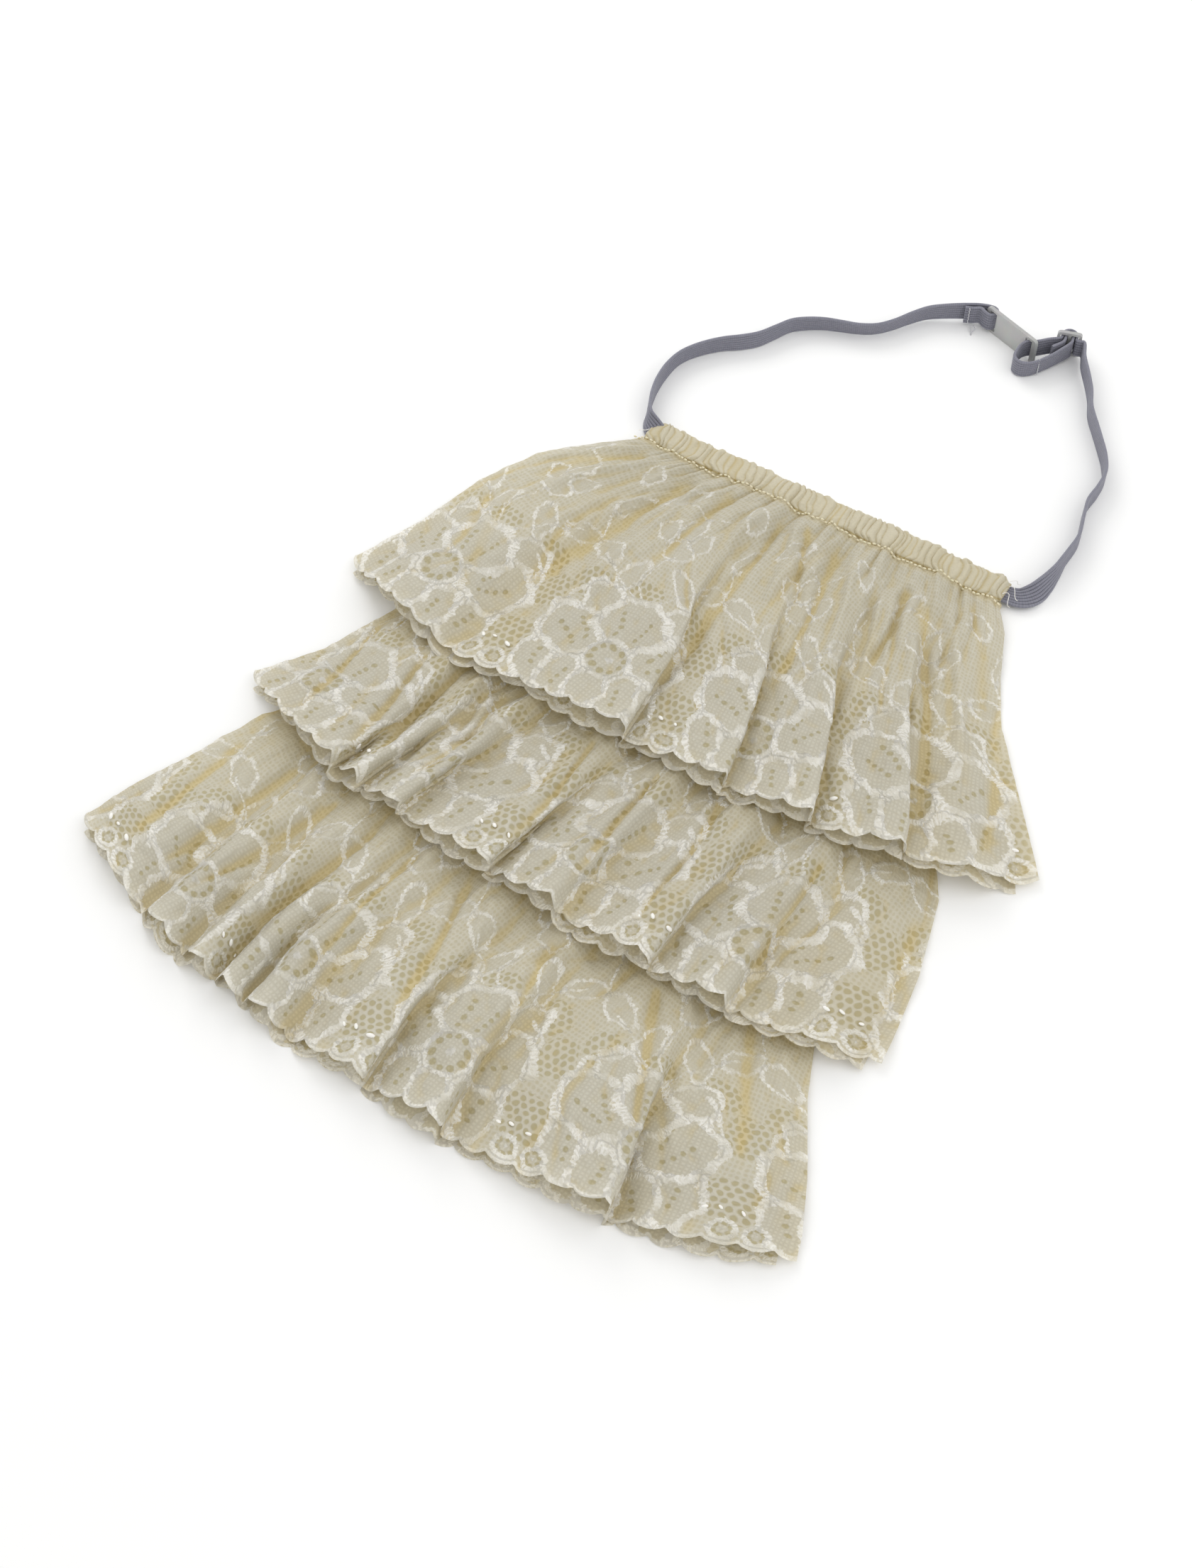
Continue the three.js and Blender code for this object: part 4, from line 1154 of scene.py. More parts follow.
def give_lace(piece, lace, u, w):
    """Stores the lace on the mesh. The threads pull the net a little out of line."""
    pulled = [
        u + 0.5 * wander(u, w, 17, 41) + 0.2 * wander(u, w, 6, 43),
        w + 0.5 * wander(u, w, 17, 42) + 0.2 * wander(u, w, 6, 44),
        np.zeros_like(u),
    ]
    give(piece, "flat", np.stack(pulled, -1), "FLOAT_VECTOR")
    for key, values in lace.items():
        give(piece, key, values)


def frill_normals(points):
    """The way out of the cloth at each point."""
    across = np.gradient(points, axis=1)
    down = np.gradient(points, axis=0)
    normal = -np.cross(across, down)
    return normal / np.linalg.norm(normal, axis=-1, keepdims=True)


def shades(name, points, normal, u, w, v, deep_in):
    """Painted shade and highlight: how warm and dark each point is painted for its creases, the
    shelter of the frill above and the seam, and how pale its cloth, partly at random and partly as
    a painted highlight on ridges.
    """
    hollow = ((softened(points, 6) - points) * normal).sum(-1)
    # painted shade: creases, hollows, the shelter of the frill above and the seam
    painted_shade = 0.6 * deep_in + 0.45 * smooth(0.03, 0.6, hollow) + 0.5 * sheltered(name, points)
    painted_shade += 0.5 * (1 - smooth(0, 0.04, v))
    # painted highlight: ridges are painted paler, on top of a random tone
    tone = 0.5 + 0.3 * wander(u, w, 33, 51) + 0.6 * smooth(0, 0.8, -hollow)
    return np.clip(painted_shade, 0, 0.8), np.clip(tone, 0, 1)


def satin_glint(gimp, u, w):
    """Painted highlight: how bright the satin is painted, from the way its stitches lie on the flat
    cloth against one fixed way of the light, with some unevenness.
    """
    slope_u = np.gradient(gimp, axis=1) / np.gradient(u, axis=1)
    slope_w = np.gradient(gimp, axis=0) / np.gradient(w, axis=0)
    facing = np.cos(2 * np.arctan2(slope_w, slope_u) - 1.1)
    return np.clip(0.54 + 0.4 * facing + 0.4 * wander(u, w, 13, 61), 0, 1)


# Points along and down a frill. A covered one has its rows in a hidden and a seen part.
GRID = {"cols": 470, "rows": 196, "hidden_rows": 36, "seen_rows": 150}


def make_frill(name):
    """A frill as a thin shell, with fewer rows where the frill above hides it. Also the
    length of its hem."""
    frill = FRILLS[name]
    seen = frill["seen_from"]
    rows = np.linspace(0, 1, GRID["rows"])
    if seen:
        hidden = np.linspace(0, seen, GRID["hidden_rows"], endpoint=False)
        rows = np.concatenate([hidden, np.linspace(seen, 1, GRID["seen_rows"])])
    share, v = np.meshgrid(np.linspace(0, 1, GRID["cols"]), rows)
    points, u, w, deep_in = frill_surface(name, share, v)
    w_hem = w - scallop(u, v)
    lace = draw_lace(u, w_hem, frill["first_flower"])
    normal = frill_normals(points)
    raised = smooth(-0.6, 1.1, lace["gimp"]) * GIMP_RAISE
    shell = points + normal * raised[..., None]
    piece = mesh_object(name + "_lace", shell.reshape(-1, 3), grid_faces(*share.shape), LACE)
    lace["crease"], lace["tone"] = shades(name, points, normal, u, w, v, deep_in)
    lace["glint"] = satin_glint(lace["gimp"], u, w)
    give_lace(piece, lace, u, w_hem)
    return piece, float(u.max())


# The fullness lies in tucks, so an inner ply's scalloped edge shows under the outer one.
INNER_PLY = {
    "from": 0.8,
    "rows": 34,
    "cols": 420,
    "height": 0.42,  # of its waves, as a share of the outer ply's
    "lower": 1.2,  # how far its hem hangs past the outer one,
    "uneven": 2.4,  # by how much that varies
    "under": 0.9,  # and how far below the outer ply it lies, all in mm
    "pattern": 33,  # how far its lace is out of step with the outer ply's
}


def make_inner_ply(name):
    """The hem of the ply that lies inside the tucks, lower and a little further out."""
    outer = FRILLS[name]
    outline = [dict(row) for row in outer["outline"]]
    for side in ("left_y", "right_y"):
        outline[-1][side] -= INNER_PLY["lower"]
    ply = {**outer, "hem_height": INNER_PLY["height"] * outer["hem_height"], "outline": outline}
    along = np.linspace(0.012, 0.985, INNER_PLY["cols"])
    share, v = np.meshgrid(along, np.linspace(INNER_PLY["from"], 1, INNER_PLY["rows"]))
    points, u, w, deep_in = frill_surface(name, share, v, ply)
    points[..., 1] -= smooth(0.85, 1, v) * INNER_PLY["uneven"] * wander(u, 0 * u, 46, 71)
    points[..., 2] = np.maximum(points[..., 2] - WALL / 2 - INNER_PLY["under"], 0) + 0.15
    w_hem = w - scallop(u, v)
    lace = draw_lace(u, w_hem, outer["first_flower"] + INNER_PLY["pattern"])
    faces = grid_faces(*share.shape)
    piece = mesh_object(name + "_inner_ply", points.reshape(-1, 3), faces, LACE)
    # painted shade: the inner ply lies in shade, deeper in its creases, and its satin highlight is
    # painted evenly dimmer
    lace["crease"] = np.clip(0.3 + 0.4 * deep_in, 0, 0.8)
    lace["tone"] = np.full(u.shape, 0.75)
    lace["glint"] = np.full(u.shape, 0.45)
    give_lace(piece, lace, u, w_hem)
    return piece


INSTANCES = "GeometryNodeInstanceOnPoints"
ICO_BALL = "GeometryNodeMeshIcoSphere"
ALIGN = "FunctionNodeAlignRotationToVector"
NAMED = "GeometryNodeInputNamedAttribute"
TO_CURVE = "GeometryNodeMeshToCurve"
TO_MESH = "GeometryNodeCurveToMesh"
CIRCLE = "GeometryNodeCurvePrimitiveCircle"
TRANSFORM = "GeometryNodeTransform"
VECTORS = {"data_type": "FLOAT_VECTOR"}


def satin_knots(tree, start):
    """One flat oval knot at each place, laid along its way on the cloth."""
    way = add(tree, NAMED, VECTORS, {"Name": "way"})
    out = add(tree, NAMED, VECTORS, {"Name": "out"})
    size = {"Radius": start.outputs["Half width"], "Subdivisions": 2}
    ball = add(tree, ICO_BALL, None, size)
    knot = add(tree, TRANSFORM, None, {"Geometry": ball, "Scale": (2.0, 1.0, 0.7)})
    lay = add(tree, ALIGN, {"axis": "X"}, {"Vector": way})
    facing = {"axis": "Z", "pivot_axis": "X"}
    face = add(tree, ALIGN, facing, {"Rotation": lay, "Vector": out})
    span = {"Min": start.outputs["Smallest"], "Max": 1.15, "Seed": start.outputs["Seed"]}
    uneven = add(tree, "FunctionNodeRandomValue", {"data_type": "FLOAT"}, span).outputs[1]
    places = add(tree, "GeometryNodeMeshToPoints", None, {"Mesh": start.outputs["Geometry"]})
    links = {"Points": places, "Instance": knot, "Rotation": face, "Scale": uneven}
    return add(tree, INSTANCES, None, links)


def make_picots(name, run):
    """Bright satin knots over the ring scallops, placed on the folded cloth."""
    frill = FRILLS[name]
    places = []
    for k in range(-1, int(run / REPEAT) + 2):
        for du, dw in PICOTS:
            at = frill["first_flower"] + k * REPEAT + du
            if 2 < at < run - 2:
                places.append((at, dw))
    at = np.array(places)
    share = at[:, 0] / run
    v = 1 - at[:, 1] / frill["depth"]
    points = frill_surface(name, share, v)[0]
    beside = frill_surface(name, share + 0.004, v)[0] - points
    below = frill_surface(name, share, v + 0.01)[0] - points
    out = -np.cross(beside, below)
    out /= np.linalg.norm(out, axis=1, keepdims=True)
    beside /= np.linalg.norm(beside, axis=1, keepdims=True)
    below /= np.linalg.norm(below, axis=1, keepdims=True)
    lean = np.random.default_rng(9).uniform(-0.3, 0.9, len(at))[:, None]
    beside = beside * np.cos(lean) + below * np.sin(lean)
    source = mesh_object(name + "_picot_places", points + out * PICOT["stand"], [], None)
    give(source, "way", beside, "FLOAT_VECTOR")
    give(source, "out", out, "FLOAT_VECTOR")
    inputs = {"Half width": PICOT["half_width"] * MM, "Smallest": PICOT["smallest"], "Seed": 4}
    piece = grown(source, name + "_picots", satin_knots, inputs, THREAD)
    bpy.data.objects.remove(source)
    return piece


frill_pieces = {}
frill_runs = {}
for tier in FRILLS:
    frill_pieces[tier], frill_runs[tier] = make_frill(tier)
picot_pieces = {tier: make_picots(tier, frill_runs[tier]) for tier in FRILLS}
inner_plies = {tier: make_inner_ply(tier) for tier in FRILLS}


# ---- back panel ------------------------------------------------------------

BACK = {"top": -10.2, "bottom": -165, "half_top": 73, "half_bottom": 93, "thick": 1.0}
BACK_GRID = (60, 70)


def make_back():
    """One flat sheet, half way up its solid, with a faint unevenness."""
    rows, cols = BACK_GRID
    t, s = np.meshgrid(np.linspace(0, 1, rows), np.linspace(-1, 1, cols), indexing="ij")
    half = BACK["half_top"] + (BACK["half_bottom"] - BACK["half_top"]) * t
    x = s * half
    y = BACK["top"] + (BACK["bottom"] - BACK["top"]) * t
    z = BACK["thick"] / 2 + 0.12 * wander(x, y, 30, 3)
    points = np.stack([x, y, z], -1).reshape(-1, 3)
    return mesh_object("back_panel_net", points, grid_faces(rows, cols)[:, ::-1], BACK_CLOTH)


back_piece = make_back()


# ---- neckband --------------------------------------------------------------

BAND = {"length": 150, "depth": 12.4, "middle_y": -3, "height": 4.9, "settled": 0.7}
BAND_GRID = {"stations": 620, "over": 40}  # points along the band and over it
RUCHES = {"count": 58, "high": (0.2, 1.5)}
BAND_SEAM = {"turn": 0.83 * math.pi, "wide": 0.12, "deep": 0.6}  # stitched groove above the frill
KNOT = {"x": 45, "wide": 3.2, "high": 1.5}  # where the ruches bunch up
BAND_END = {"from": 3.5, "drawn_in": 0.22}  # each end is drawn in where the elastic is sewn


def band_lift(x, turn):
    """How far the ruches, the knot and the seam's groove lift the band at each place,
    and how much painted warm shade its creases and the seam's groove get."""
    rng = np.random.default_rng(11)
    half_length = BAND["length"] / 2
    edges = uneven_edges(-half_length - 2, half_length + 2, RUCHES["count"], 0.5, rng)
    heights = rng.uniform(*RUCHES["high"], RUCHES["count"])
    # each ruche leans a little and wavers on its way over the band
    lean = 1.5 * np.cos(turn) + 0.7 * np.sin(2.7 * turn + x / 5) + 0.8 * wander(x, turn * 6, 9, 30)
    lift = puffs(x + lean, edges, heights)[0]
    painted_shade = 1 - smooth(0, 0.35, lift)
    lift += KNOT["high"] * np.exp(-(((x - KNOT["x"]) / KNOT["wide"]) ** 2)) * np.sin(turn) ** 2
    lift += 0.36 * wander(x, turn * 4, 3.4, 31) + 0.15 * wander(x, turn * 6, 14, 32)
    groove = np.exp(-(((turn - BAND_SEAM["turn"]) / BAND_SEAM["wide"]) ** 2))
    lift -= BAND_SEAM["deep"] * groove + BAND["settled"]
    # painted shade between the ruches and in the seam's groove
    return lift, np.clip(0.7 * painted_shade + 0.8 * groove, 0, 1)


def make_band():
    """The ruched tube: an uneven arch over a flat underside, closed at both ends."""
    stations = BAND_GRID["stations"]
    half_length = BAND["length"] / 2
    along = np.linspace(-half_length, half_length, stations)
    over = np.linspace(0, math.pi, BAND_GRID["over"])
    x, turn = np.meshgrid(along, over, indexing="ij")
    lift, painted_shade_over = band_lift(x, turn)
    end_rise = 0.9 * smooth(66, 73, x) + 0.3 * smooth(-68, -73, x)
    half = BAND["depth"] / 2 + 0.45 * lift + 0.3 * wander(x, 0 * x, 19, 33)
    top = BAND["height"] + lift * 0.8 + end_rise
    c, s = np.cos(turn), np.sin(turn)
    y = 0.35 * wander(x, 0 * x, 24, 34) + half * np.sign(c) * np.sqrt(np.abs(c))
    z = 0.3 + (top - 0.3) * np.sqrt(np.clip(s, 0, 1))
    from_end = smooth(0, BAND_END["from"], half_length - np.abs(x))
    tuck = 1 - BAND_END["drawn_in"] * (1 - from_end)
    outer = np.stack([x, BAND["middle_y"] + y * tuck, z * tuck], -1)
    under = outer.copy()[:, ::-1][:, 1:-1]
    under[..., 2] = 0.05
    ring = np.concatenate([outer, under], 1)
    cols = ring.shape[1]
    faces = grid_faces(stations, cols, wrap=True)[:, ::-1].tolist()
    first = list(range(cols))
    last = list(range((stations - 1) * cols, stations * cols))
    ends = [first, last[::-1]]
    piece = mesh_object("neckband_ruched", ring.reshape(-1, 3), faces + ends, BAND_CLOTH)
    # painted shade in the creases and the seam's groove, on the arch only
    warm = np.zeros(ring.shape[:2])
    warm[:, : BAND_GRID["over"]] = painted_shade_over
    give(piece, "crease", warm)
    shape = bmesh.new()
    shape.from_mesh(piece.data)
    bmesh.ops.recalc_face_normals(shape, faces=shape.faces)
    shape.to_mesh(piece.data)
    shape.free()
    return piece


band_piece = make_band()


# ---- elastic ---------------------------------------------------------------
# Rows of a route: x, y, z and tilt, or, on a fitting, along its plate and off its
# face. Tilt 0 stands the tape on edge and 90 lays it flat.

HOOK = {"x": 17.2, "y": 116.8, "turn": -19.7}  # the middle of its plate, and its way
SLIDER = {"x": 38.3, "y": 124.3, "turn": 18}
# Covered cords side by side. "step" is the number of points from one row to the next.
ELASTIC = {"ribs": 7, "pitch": 1.16, "radius": 0.62, "step": 8}

LEFT_ROUTE = [
    (-66, -3, 2.3, 90), (-71, -2.6, 2.4, 80), (-75.4, -1, 3.4, 48), (-78.4, 1.2, 4.1, 22),
    (-80.6, 5, 4.2, 8), (-83.1, 11, 4.2, 2), (-85.3, 18.5, 4.2, 0), (-86.4, 27, 4.2, 0),
    (-86, 35, 4.2, 6), (-83.8, 41, 4.2, 8), (-79.8, 47.2, 4.2, 7), (-75.4, 52.2, 4.2, 6),
    (-70.2, 56.6, 4.2, 2), (-65.4, 61.8, 4.2, 2), (-61.8, 68.8, 4.2, 4), (-58.4, 75.7, 4.2, 9),
    (-53.3, 80.3, 4.2, 11), (-47.7, 83.7, 4.2, 14), (-41.3, 86.2, 4.2, 17), (-35.1, 88.6, 4.15, 20),
    (-29.5, 92.2, 4.15, 20), (-25, 97.8, 4.2, 17), (-21, 104.8, 4.3, 13), (-16.6, 111, 4.5, 10),
    (-10.9, 115.3, 4.9, 6), (-4.4, 119.2, 5.3, 2), (0.8, 121.9, 5.5, 0),
    (HOOK, -13.6, 2.0, 5.5, 0), (HOOK, -11.4, 2.5, 5.5, 0), (HOOK, -9.8, 1.3, 5.5, 0),
    (HOOK, -9.7, -0.4, 5.5, 0), (HOOK, -10.6, -1.9, 5.5, 0), (HOOK, -12.8, -2.2, 5.5, 0),
    (HOOK, -15.6, -2.0, 5.5, 0), (-0.6, 118.7, 5.4, 0), (-3.6, 117.4, 5.3, 2),
]

RIGHT_ROUTE = [
    (66, -3, 2.3, -90), (71, -3, 2.3, -90), (76.6, -3, 2.3, -90), (80.8, -2, 2.8, -78),
    (84, 1.4, 3.6, -58), (85.6, 7, 4.2, -34), (86.2, 14, 4.3, -14), (86, 22, 4.2, -2),
    (86, 32.4, 4.2, 0), (83.4, 42, 4.2, 0), (81.2, 50.5, 4.2, 0), (81.4, 58.6, 4.2, 0),
    (80.6, 67, 4.2, 0), (77.2, 74.2, 4.2, 0), (72.4, 81, 4.2, 0), (67.4, 87.6, 4.2, 0),
    (61.6, 95.4, 4.2, 0), (57.7, 103.4, 4.4, 0), (53.4, 110, 4.8, 0), (48, 117.6, 5.3, 0),
    (SLIDER, 5.8, -1.8, 5.5, 0), (SLIDER, 4.2, -1.85, 5.5, 0), (SLIDER, 3.0, -1.5, 5.5, 0),
    (SLIDER, 2.8, -0.2, 5.5, 0), (SLIDER, 2.6, 1.6, 5.5, 0), (SLIDER, 1.5, 3.1, 5.5, 0),
    (SLIDER, 0, 3.6, 5.5, 0), (SLIDER, -1.5, 3.1, 5.5, 0), (SLIDER, -2.6, 1.6, 5.5, 0),
    (SLIDER, -2.8, -0.2, 5.5, 0), (SLIDER, -3.1, -1.5, 5.5, 0), (SLIDER, -4.3, -2.2, 5.5, 0),
    (32.4, 118.8, 5.5, 0), (HOOK, 11.4, 1.9, 5.5, 0), (HOOK, 9.8, 0.3, 5.5, 0),
    (HOOK, 8.8, -3, 5.2, 0), (24.1, 107.4, 4.6, 0), (25, 103.8, 4.3, 2), (28, 102.6, 4.2, 6),
    (31.4, 104.4, 4.2, 8), (35.2, 110, 4.5, 8), (38.6, 117, 5.1, 4),
    (SLIDER, 1.2, -3.0, 5.5, 0), (SLIDER, 1.35, -1.4, 5.5, 0), (SLIDER, 1.4, 0, 5.5, 0),
    (SLIDER, 1.2, 1.3, 5.5, 0), (SLIDER, 0, 1.8, 5.5, 0), (SLIDER, -1.2, 1.3, 5.5, 0),
    (SLIDER, -1.4, 0, 5.5, 0), (SLIDER, -1.45, -1.4, 5.5, 0), (SLIDER, -2.0, -3.6, 5.5, 0),
    (35, 115.4, 5.4, 0),
]


def on_fitting(fitting, along, off, z):
    """A place given along a fitting's plate and off its face, in the part's frame."""
    turn = math.radians(fitting["turn"])
    x = fitting["x"] + along * math.cos(turn) - off * math.sin(turn)
    y = fitting["y"] + along * math.sin(turn) + off * math.cos(turn)
    return (x, y, z)


def route_table(route):
    """The middle of the tape at each row, and its tilt."""
    places, tilts = [], []
    for row in route:
        if isinstance(row[0], dict):
            places.append(on_fitting(*row[:4]))
        else:
            places.append(row[:3])
        tilts.append(row[-1])
    return np.array(places, float), np.array(tilts, float)


def smooth_route(route, step):
    """A centripetal curve through the rows: its middle and the tape's width way."""
    places, tilts = route_table(route)
    points = np.vstack([2 * places[0] - places[1], places, 2 * places[-1] - places[-2]])
    middle, along, tilt = [], [], []
    for i in range(len(places) - 1):
        p0, p1, p2, p3 = points[i : i + 4]
        gaps = [max(np.linalg.norm(b - a) ** 0.5, 1e-4) for a, b in ((p0, p1), (p1, p2), (p2, p3))]
        t1 = (p1 - p0) / gaps[0] - (p2 - p0) / (gaps[0] + gaps[1]) + (p2 - p1) / gaps[1]
        t2 = (p2 - p1) / gaps[1] - (p3 - p1) / (gaps[1] + gaps[2]) + (p3 - p2) / gaps[2]
        t1, t2 = t1 * gaps[1], t2 * gaps[1]
        count = step + 1 if i == len(places) - 2 else step
        for t in np.arange(count) / step:
            c2 = -3 * p1 + 3 * p2 - 2 * t1 - t2
            c3 = 2 * p1 - 2 * p2 + t1 + t2
            middle.append(p1 + t1 * t + c2 * t * t + c3 * t**3)
            along.append(t1 + 2 * c2 * t + 3 * c3 * t * t)
            tilt.append(tilts[i] + (tilts[i + 1] - tilts[i]) * t)
    middle, along, tilt = np.array(middle), np.array(along), np.radians(tilt)
    along /= np.linalg.norm(along, axis=1, keepdims=True)
    side = np.stack([along[:, 1], -along[:, 0], np.zeros(len(along))], 1)
    side /= np.linalg.norm(side, axis=1, keepdims=True)
    up = np.array([0, 0, 1.0]) * np.cos(tilt)[:, None] + side * np.sin(tilt)[:, None]
    up /= np.linalg.norm(up, axis=1, keepdims=True)
    return middle, up


def ribbed_tape(tree, start):
    """Covered cords side by side, each along the tape's own route."""
    line = add(tree, TO_CURVE, None, {"Mesh": start.outputs["Geometry"]})
    copies = {"Geometry": line, "Amount": start.outputs["Ribs"]}
    cords = add(tree, "GeometryNodeDuplicateElements", {"domain": "SPLINE"}, copies)
    count = add(tree, MATH, SUBTRACT, {0: start.outputs["Ribs"], 1: 1.0})
    half = add(tree, MATH, MULTIPLY, {0: count, 1: 0.5})
    place = add(tree, MATH, SUBTRACT, {0: cords.outputs["Duplicate Index"], 1: half})
    apart = add(tree, MATH, MULTIPLY, {0: place, 1: start.outputs["Rib pitch"]})
    width_way = add(tree, NAMED, VECTORS, {"Name": "width_way"})
    offset = add(tree, VECTOR, SCALE, {0: width_way, "Scale": apart})
    moved = {"Geometry": cords.outputs["Geometry"], "Offset": offset.outputs[0]}
    spread = add(tree, "GeometryNodeSetPosition", None, moved)
    section = add(tree, CIRCLE, None, {"Resolution": 8, "Radius": start.outputs["Rib radius"]})
    links = {"Curve": spread, "Profile Curve": section, "Fill Caps": True}
    return add(tree, TO_MESH, None, links)


def make_elastic(name, route):
    """A woven tape along its route, with its width way and run stored for the cords."""
    middle, up = smooth_route(route, ELASTIC["step"])
    edges = [(i, i + 1) for i in range(len(middle) - 1)]
    source = mesh_object(name + "_route", middle, [], None, edges)
    legs = np.linalg.norm(np.diff(middle, axis=0), axis=1)
    give(source, "width_way", up, "FLOAT_VECTOR")
    give(source, "along", np.concatenate([[0], np.cumsum(legs)]))
    sizes = {"Rib pitch": ELASTIC["pitch"] * MM, "Rib radius": ELASTIC["radius"] * MM}
    inputs = {"Ribs": ELASTIC["ribs"], **sizes}
    piece = grown(source, name, ribbed_tape, inputs, ELASTIC_CLOTH)
    bpy.data.objects.remove(source)
    return piece


elastic_left = make_elastic("elastic_left_woven", LEFT_ROUTE)
elastic_right = make_elastic("elastic_right_woven", RIGHT_ROUTE)


# ---- plastic fittings ------------------------------------------------------

SHARP = 1.2  # edges that turn further than this, in radians, are softened


def moulded(node, name, edge_radius):
    """The fitting's own shape with the soft edges of a moulding."""
    shape = bmesh.new()
    shape.from_mesh(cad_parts[node].data)
    bmesh.ops.remove_doubles(shape, verts=shape.verts, dist=1e-6)
    bmesh.ops.dissolve_limit(shape, angle_limit=0.02, verts=shape.verts, edges=shape.edges)
    sharp = [e for e in shape.edges if len(e.link_faces) == 2 and e.calc_face_angle(0) > SHARP]
    bmesh.ops.bevel(
        shape,
        geom=sharp,
        offset=edge_radius * MM,
        segments=3,
        profile=0.5,
        affect="EDGES",
        clamp_overlap=True,
    )
    bmesh.ops.triangulate(shape, faces=shape.faces)
    mesh = bpy.data.meshes.new(name)
    shape.to_mesh(mesh)
    shape.free()
    return placed(name, mesh, CLEAR_NYLON)


hook_piece = moulded("hook", "hook_moulded", 0.35)
slider_piece = moulded("slider", "slider_moulded", 0.25)


# ---- sewing ----------------------------------------------------------------
# Each piece of sewing is grown along lines of x, y, z points.


def stitch_row(tree, start):
    """Short plump stitches at an even pitch along a line."""
    line = add(tree, TO_CURVE, None, {"Mesh": start.outputs["Geometry"]})
    pitch = {"Curve": line, "Length": start.outputs["Pitch"]}
    even = add(tree, "GeometryNodeResampleCurve", {"mode": "LENGTH"}, pitch)
    tangent = add(tree, "GeometryNodeInputTangent")
    lay = add(tree, ALIGN, {"axis": "X"}, {"Vector": tangent})
    size = {"Radius": start.outputs["Half width"], "Subdivisions": 1}
    ball = add(tree, ICO_BALL, None, size)
    parts = {"X": start.outputs["Long"], "Y": 1.0, "Z": 1.0}
    stretch = add(tree, "ShaderNodeCombineXYZ", None, parts)
    stitch = add(tree, TRANSFORM, None, {"Geometry": ball, "Scale": stretch})
    return add(tree, INSTANCES, None, {"Points": even, "Instance": stitch, "Rotation": lay})


def thread_run(tree, start):
    """One round thread along each line."""
    line = add(tree, TO_CURVE, None, {"Mesh": start.outputs["Geometry"]})
    soft = add(tree, "GeometryNodeSubdivideCurve", None, {"Curve": line, "Cuts": 1})
    section = add(tree, CIRCLE, None, {"Resolution": 6, "Radius": start.outputs["Half width"]})
    links = {"Curve": soft, "Profile Curve": section, "Fill Caps": True}
    return add(tree, TO_MESH, None, links)


def sewn(name, lines, build, inputs, material):
    """One piece of sewing, grown along its lines."""
    points, edges = [], []
    for line in lines:
        first = len(points)
        edges += [(first + i, first + i + 1) for i in range(len(line) - 1)]
        points += line
    source = mesh_object(name + "_line", points, [], None, edges)
    piece = grown(source, name, build, inputs, material)
    bpy.data.objects.remove(source)
    return piece


def band_seam_line():
    """On the top frill's gathers where they meet the neckband, a little uneven like
    hand-guided work."""
    share = np.linspace(0.01, 0.99, 500)
    points = frill_surface("tier_top", share, 0.014 + 0.004 * np.sin(share * 90))[0]
    return [tuple(p) for p in points + (0, 1.0, 0.45)]


def wavy(start, end, bend, count):
    """A loose thread from one point to another, bent sideways in an uneven curl."""
    start, end, bend = np.array([start, end, bend], float)
    t = np.linspace(0, 1, count)[:, None]
    curl = np.sin(math.pi * t * 1.7) * (1 - 0.3 * t)
    return [tuple(p) for p in start + (end - start) * t + bend * curl]


LOOP_TACK = [(-1.7 + 0.3 * (k % 2), 117.1, 1.5 + 0.8 * k) for k in range(11)]
SLIDER_TACK = [(34.0 + 0.15 * (k % 2), 106.7, 0.5 + 0.8 * k) for k in range(11)]
TACK_ENDS = [
    wavy((1.0, 117.2, 1.6), (2.6, 113.4, 0.4), (0.9, 0, 0.4), 12),
    wavy((0.6, 117.0, 1.6), (1.4, 113.8, 0.3), (-0.8, 0.4, 0.5), 12),
]
TACKS = [LOOP_TACK, SLIDER_TACK, *TACK_ENDS]
BAND_END_THREADS = [
    wavy((74.5, -5.5, 4.6), (79.5, -7.5, 3.4), (0.6, 1.6, 0.8), 12),
    wavy((75, -1.0, 4.4), (80.5, -4.5, 4.4), (0.2, 1.2, 0.6), 12),
    wavy((74, 1.4, 4.2), (78.5, 3.2, 4.0), (0.8, 0.8, 0.5), 12),
    wavy((-75, -3.5, 4.2), (-78.5, -5.5, 3.2), (0.4, -0.8, 0.5), 10),
]

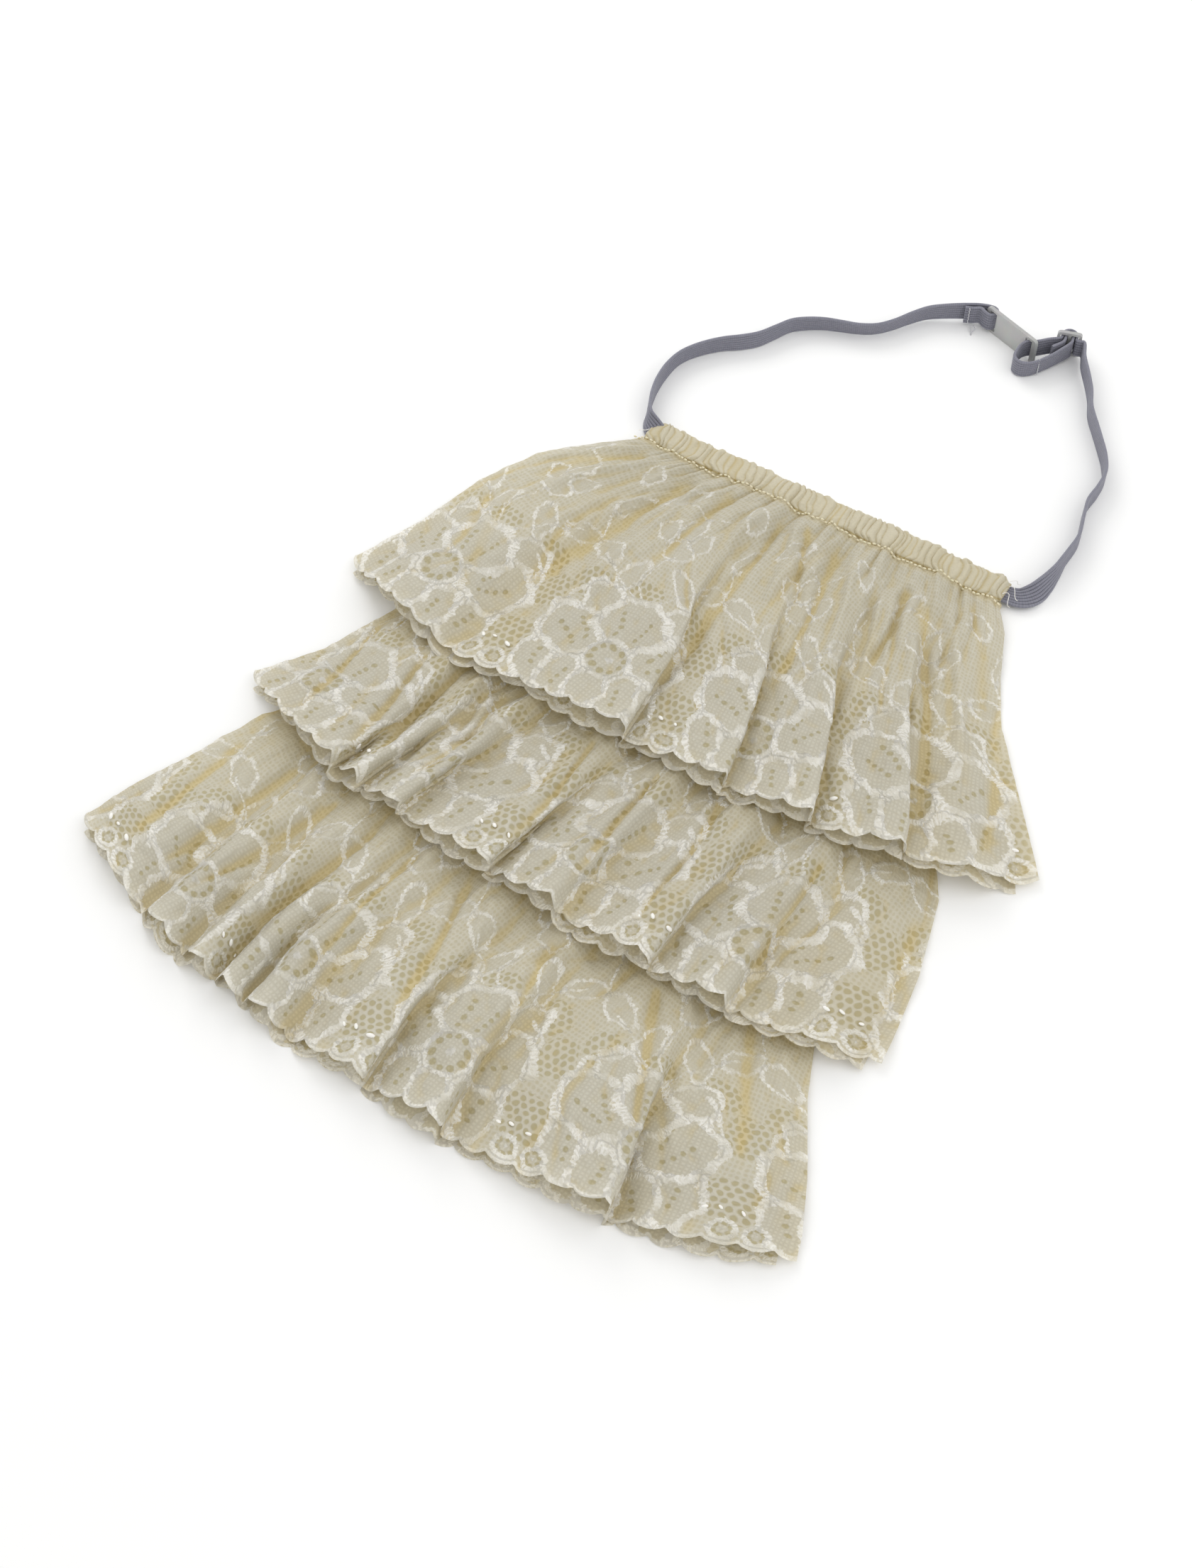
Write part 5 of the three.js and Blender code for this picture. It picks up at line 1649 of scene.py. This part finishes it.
# Sizes of the stitches and threads; "Long" is a stitch's length over its width.
SEAM_STITCH = {"Half width": 0.42 * MM, "Pitch": 1.9 * MM, "Long": 1.9}
TACK_THREAD = {"Half width": 0.2 * MM}
FREE_THREAD = {"Half width": 0.12 * MM}
sewn_pieces = {
    "band_cloth": [sewn("band_seam_stitches", [band_seam_line()], stitch_row, SEAM_STITCH, SEWING)],
    "elastic": [
        sewn("tack_stitches", TACKS, thread_run, TACK_THREAD, GREY_THREAD),
        sewn("band_end_threads", BAND_END_THREADS, thread_run, FREE_THREAD, THREAD),
    ],
}


# ---- attaching the pieces and hiding their solids --------------------------

for slot, pieces in sewn_pieces.items():
    for piece in pieces:
        finish_piece(piece, slot)

for tier, piece in frill_pieces.items():
    finish_piece(picot_pieces[tier], "lace")
    finish_piece(inner_plies[tier], "lace")
    finish_piece(piece, "lace", tier)

finish_piece(back_piece, "back_cloth", "back_panel")
finish_piece(band_piece, "band_cloth", "neck_casing")
finish_piece(elastic_left, "elastic", "elastic_left")
finish_piece(elastic_right, "elastic", "elastic_right")
finish_piece(hook_piece, "clear_plastic", "hook")
finish_piece(slider_piece, "clear_plastic", "slider")


# ---- floor and light -------------------------------------------------------


def make_floor():
    """A wide sheet of matt paper, just under the cloth."""
    material, tree = new_material("pale_paper_floor")
    links = {"Base Color": linear("#fbfbfa"), "Roughness": 0.9}
    paper = add(tree, PRINCIPLED, None, links)
    add(tree, OUTPUT, None, {"Surface": paper})
    half, z = 1800, -0.05
    corners = [(-half, -half, z), (half, -half, z), (half, half, z), (-half, half, z)]
    floor = mesh_object("floor", corners, [(0, 1, 2, 3)], material)


LAMP_TARGET = (0, -120, 0)
WORLD_STRENGTH = 0.88
LAMPS = [
    {"name": "key", "place": (-740, 420, 620), "size": 600, "watts": 2.8},
    {"name": "fill", "place": (800, 0, 800), "size": 1200, "watts": 2.4},
]


def make_lights():
    """Two soft lamps and an even white surround."""
    for lamp in LAMPS:
        data = bpy.data.lights.new(lamp["name"], "AREA")
        data.size = lamp["size"] * MM
        data.energy = lamp["watts"]
        aimed(lamp["name"], data, lamp["place"], LAMP_TARGET)
    world = bpy.data.worlds.new("studio")
    world.use_nodes = True
    sky = world.node_tree.nodes["Background"]
    sky.inputs["Color"].default_value = (1, 1, 1, 1)
    sky.inputs["Strength"].default_value = WORLD_STRENGTH
    bpy.context.scene.world = world
    bpy.context.scene.view_settings.view_transform = "Standard"


make_floor()
make_lights()
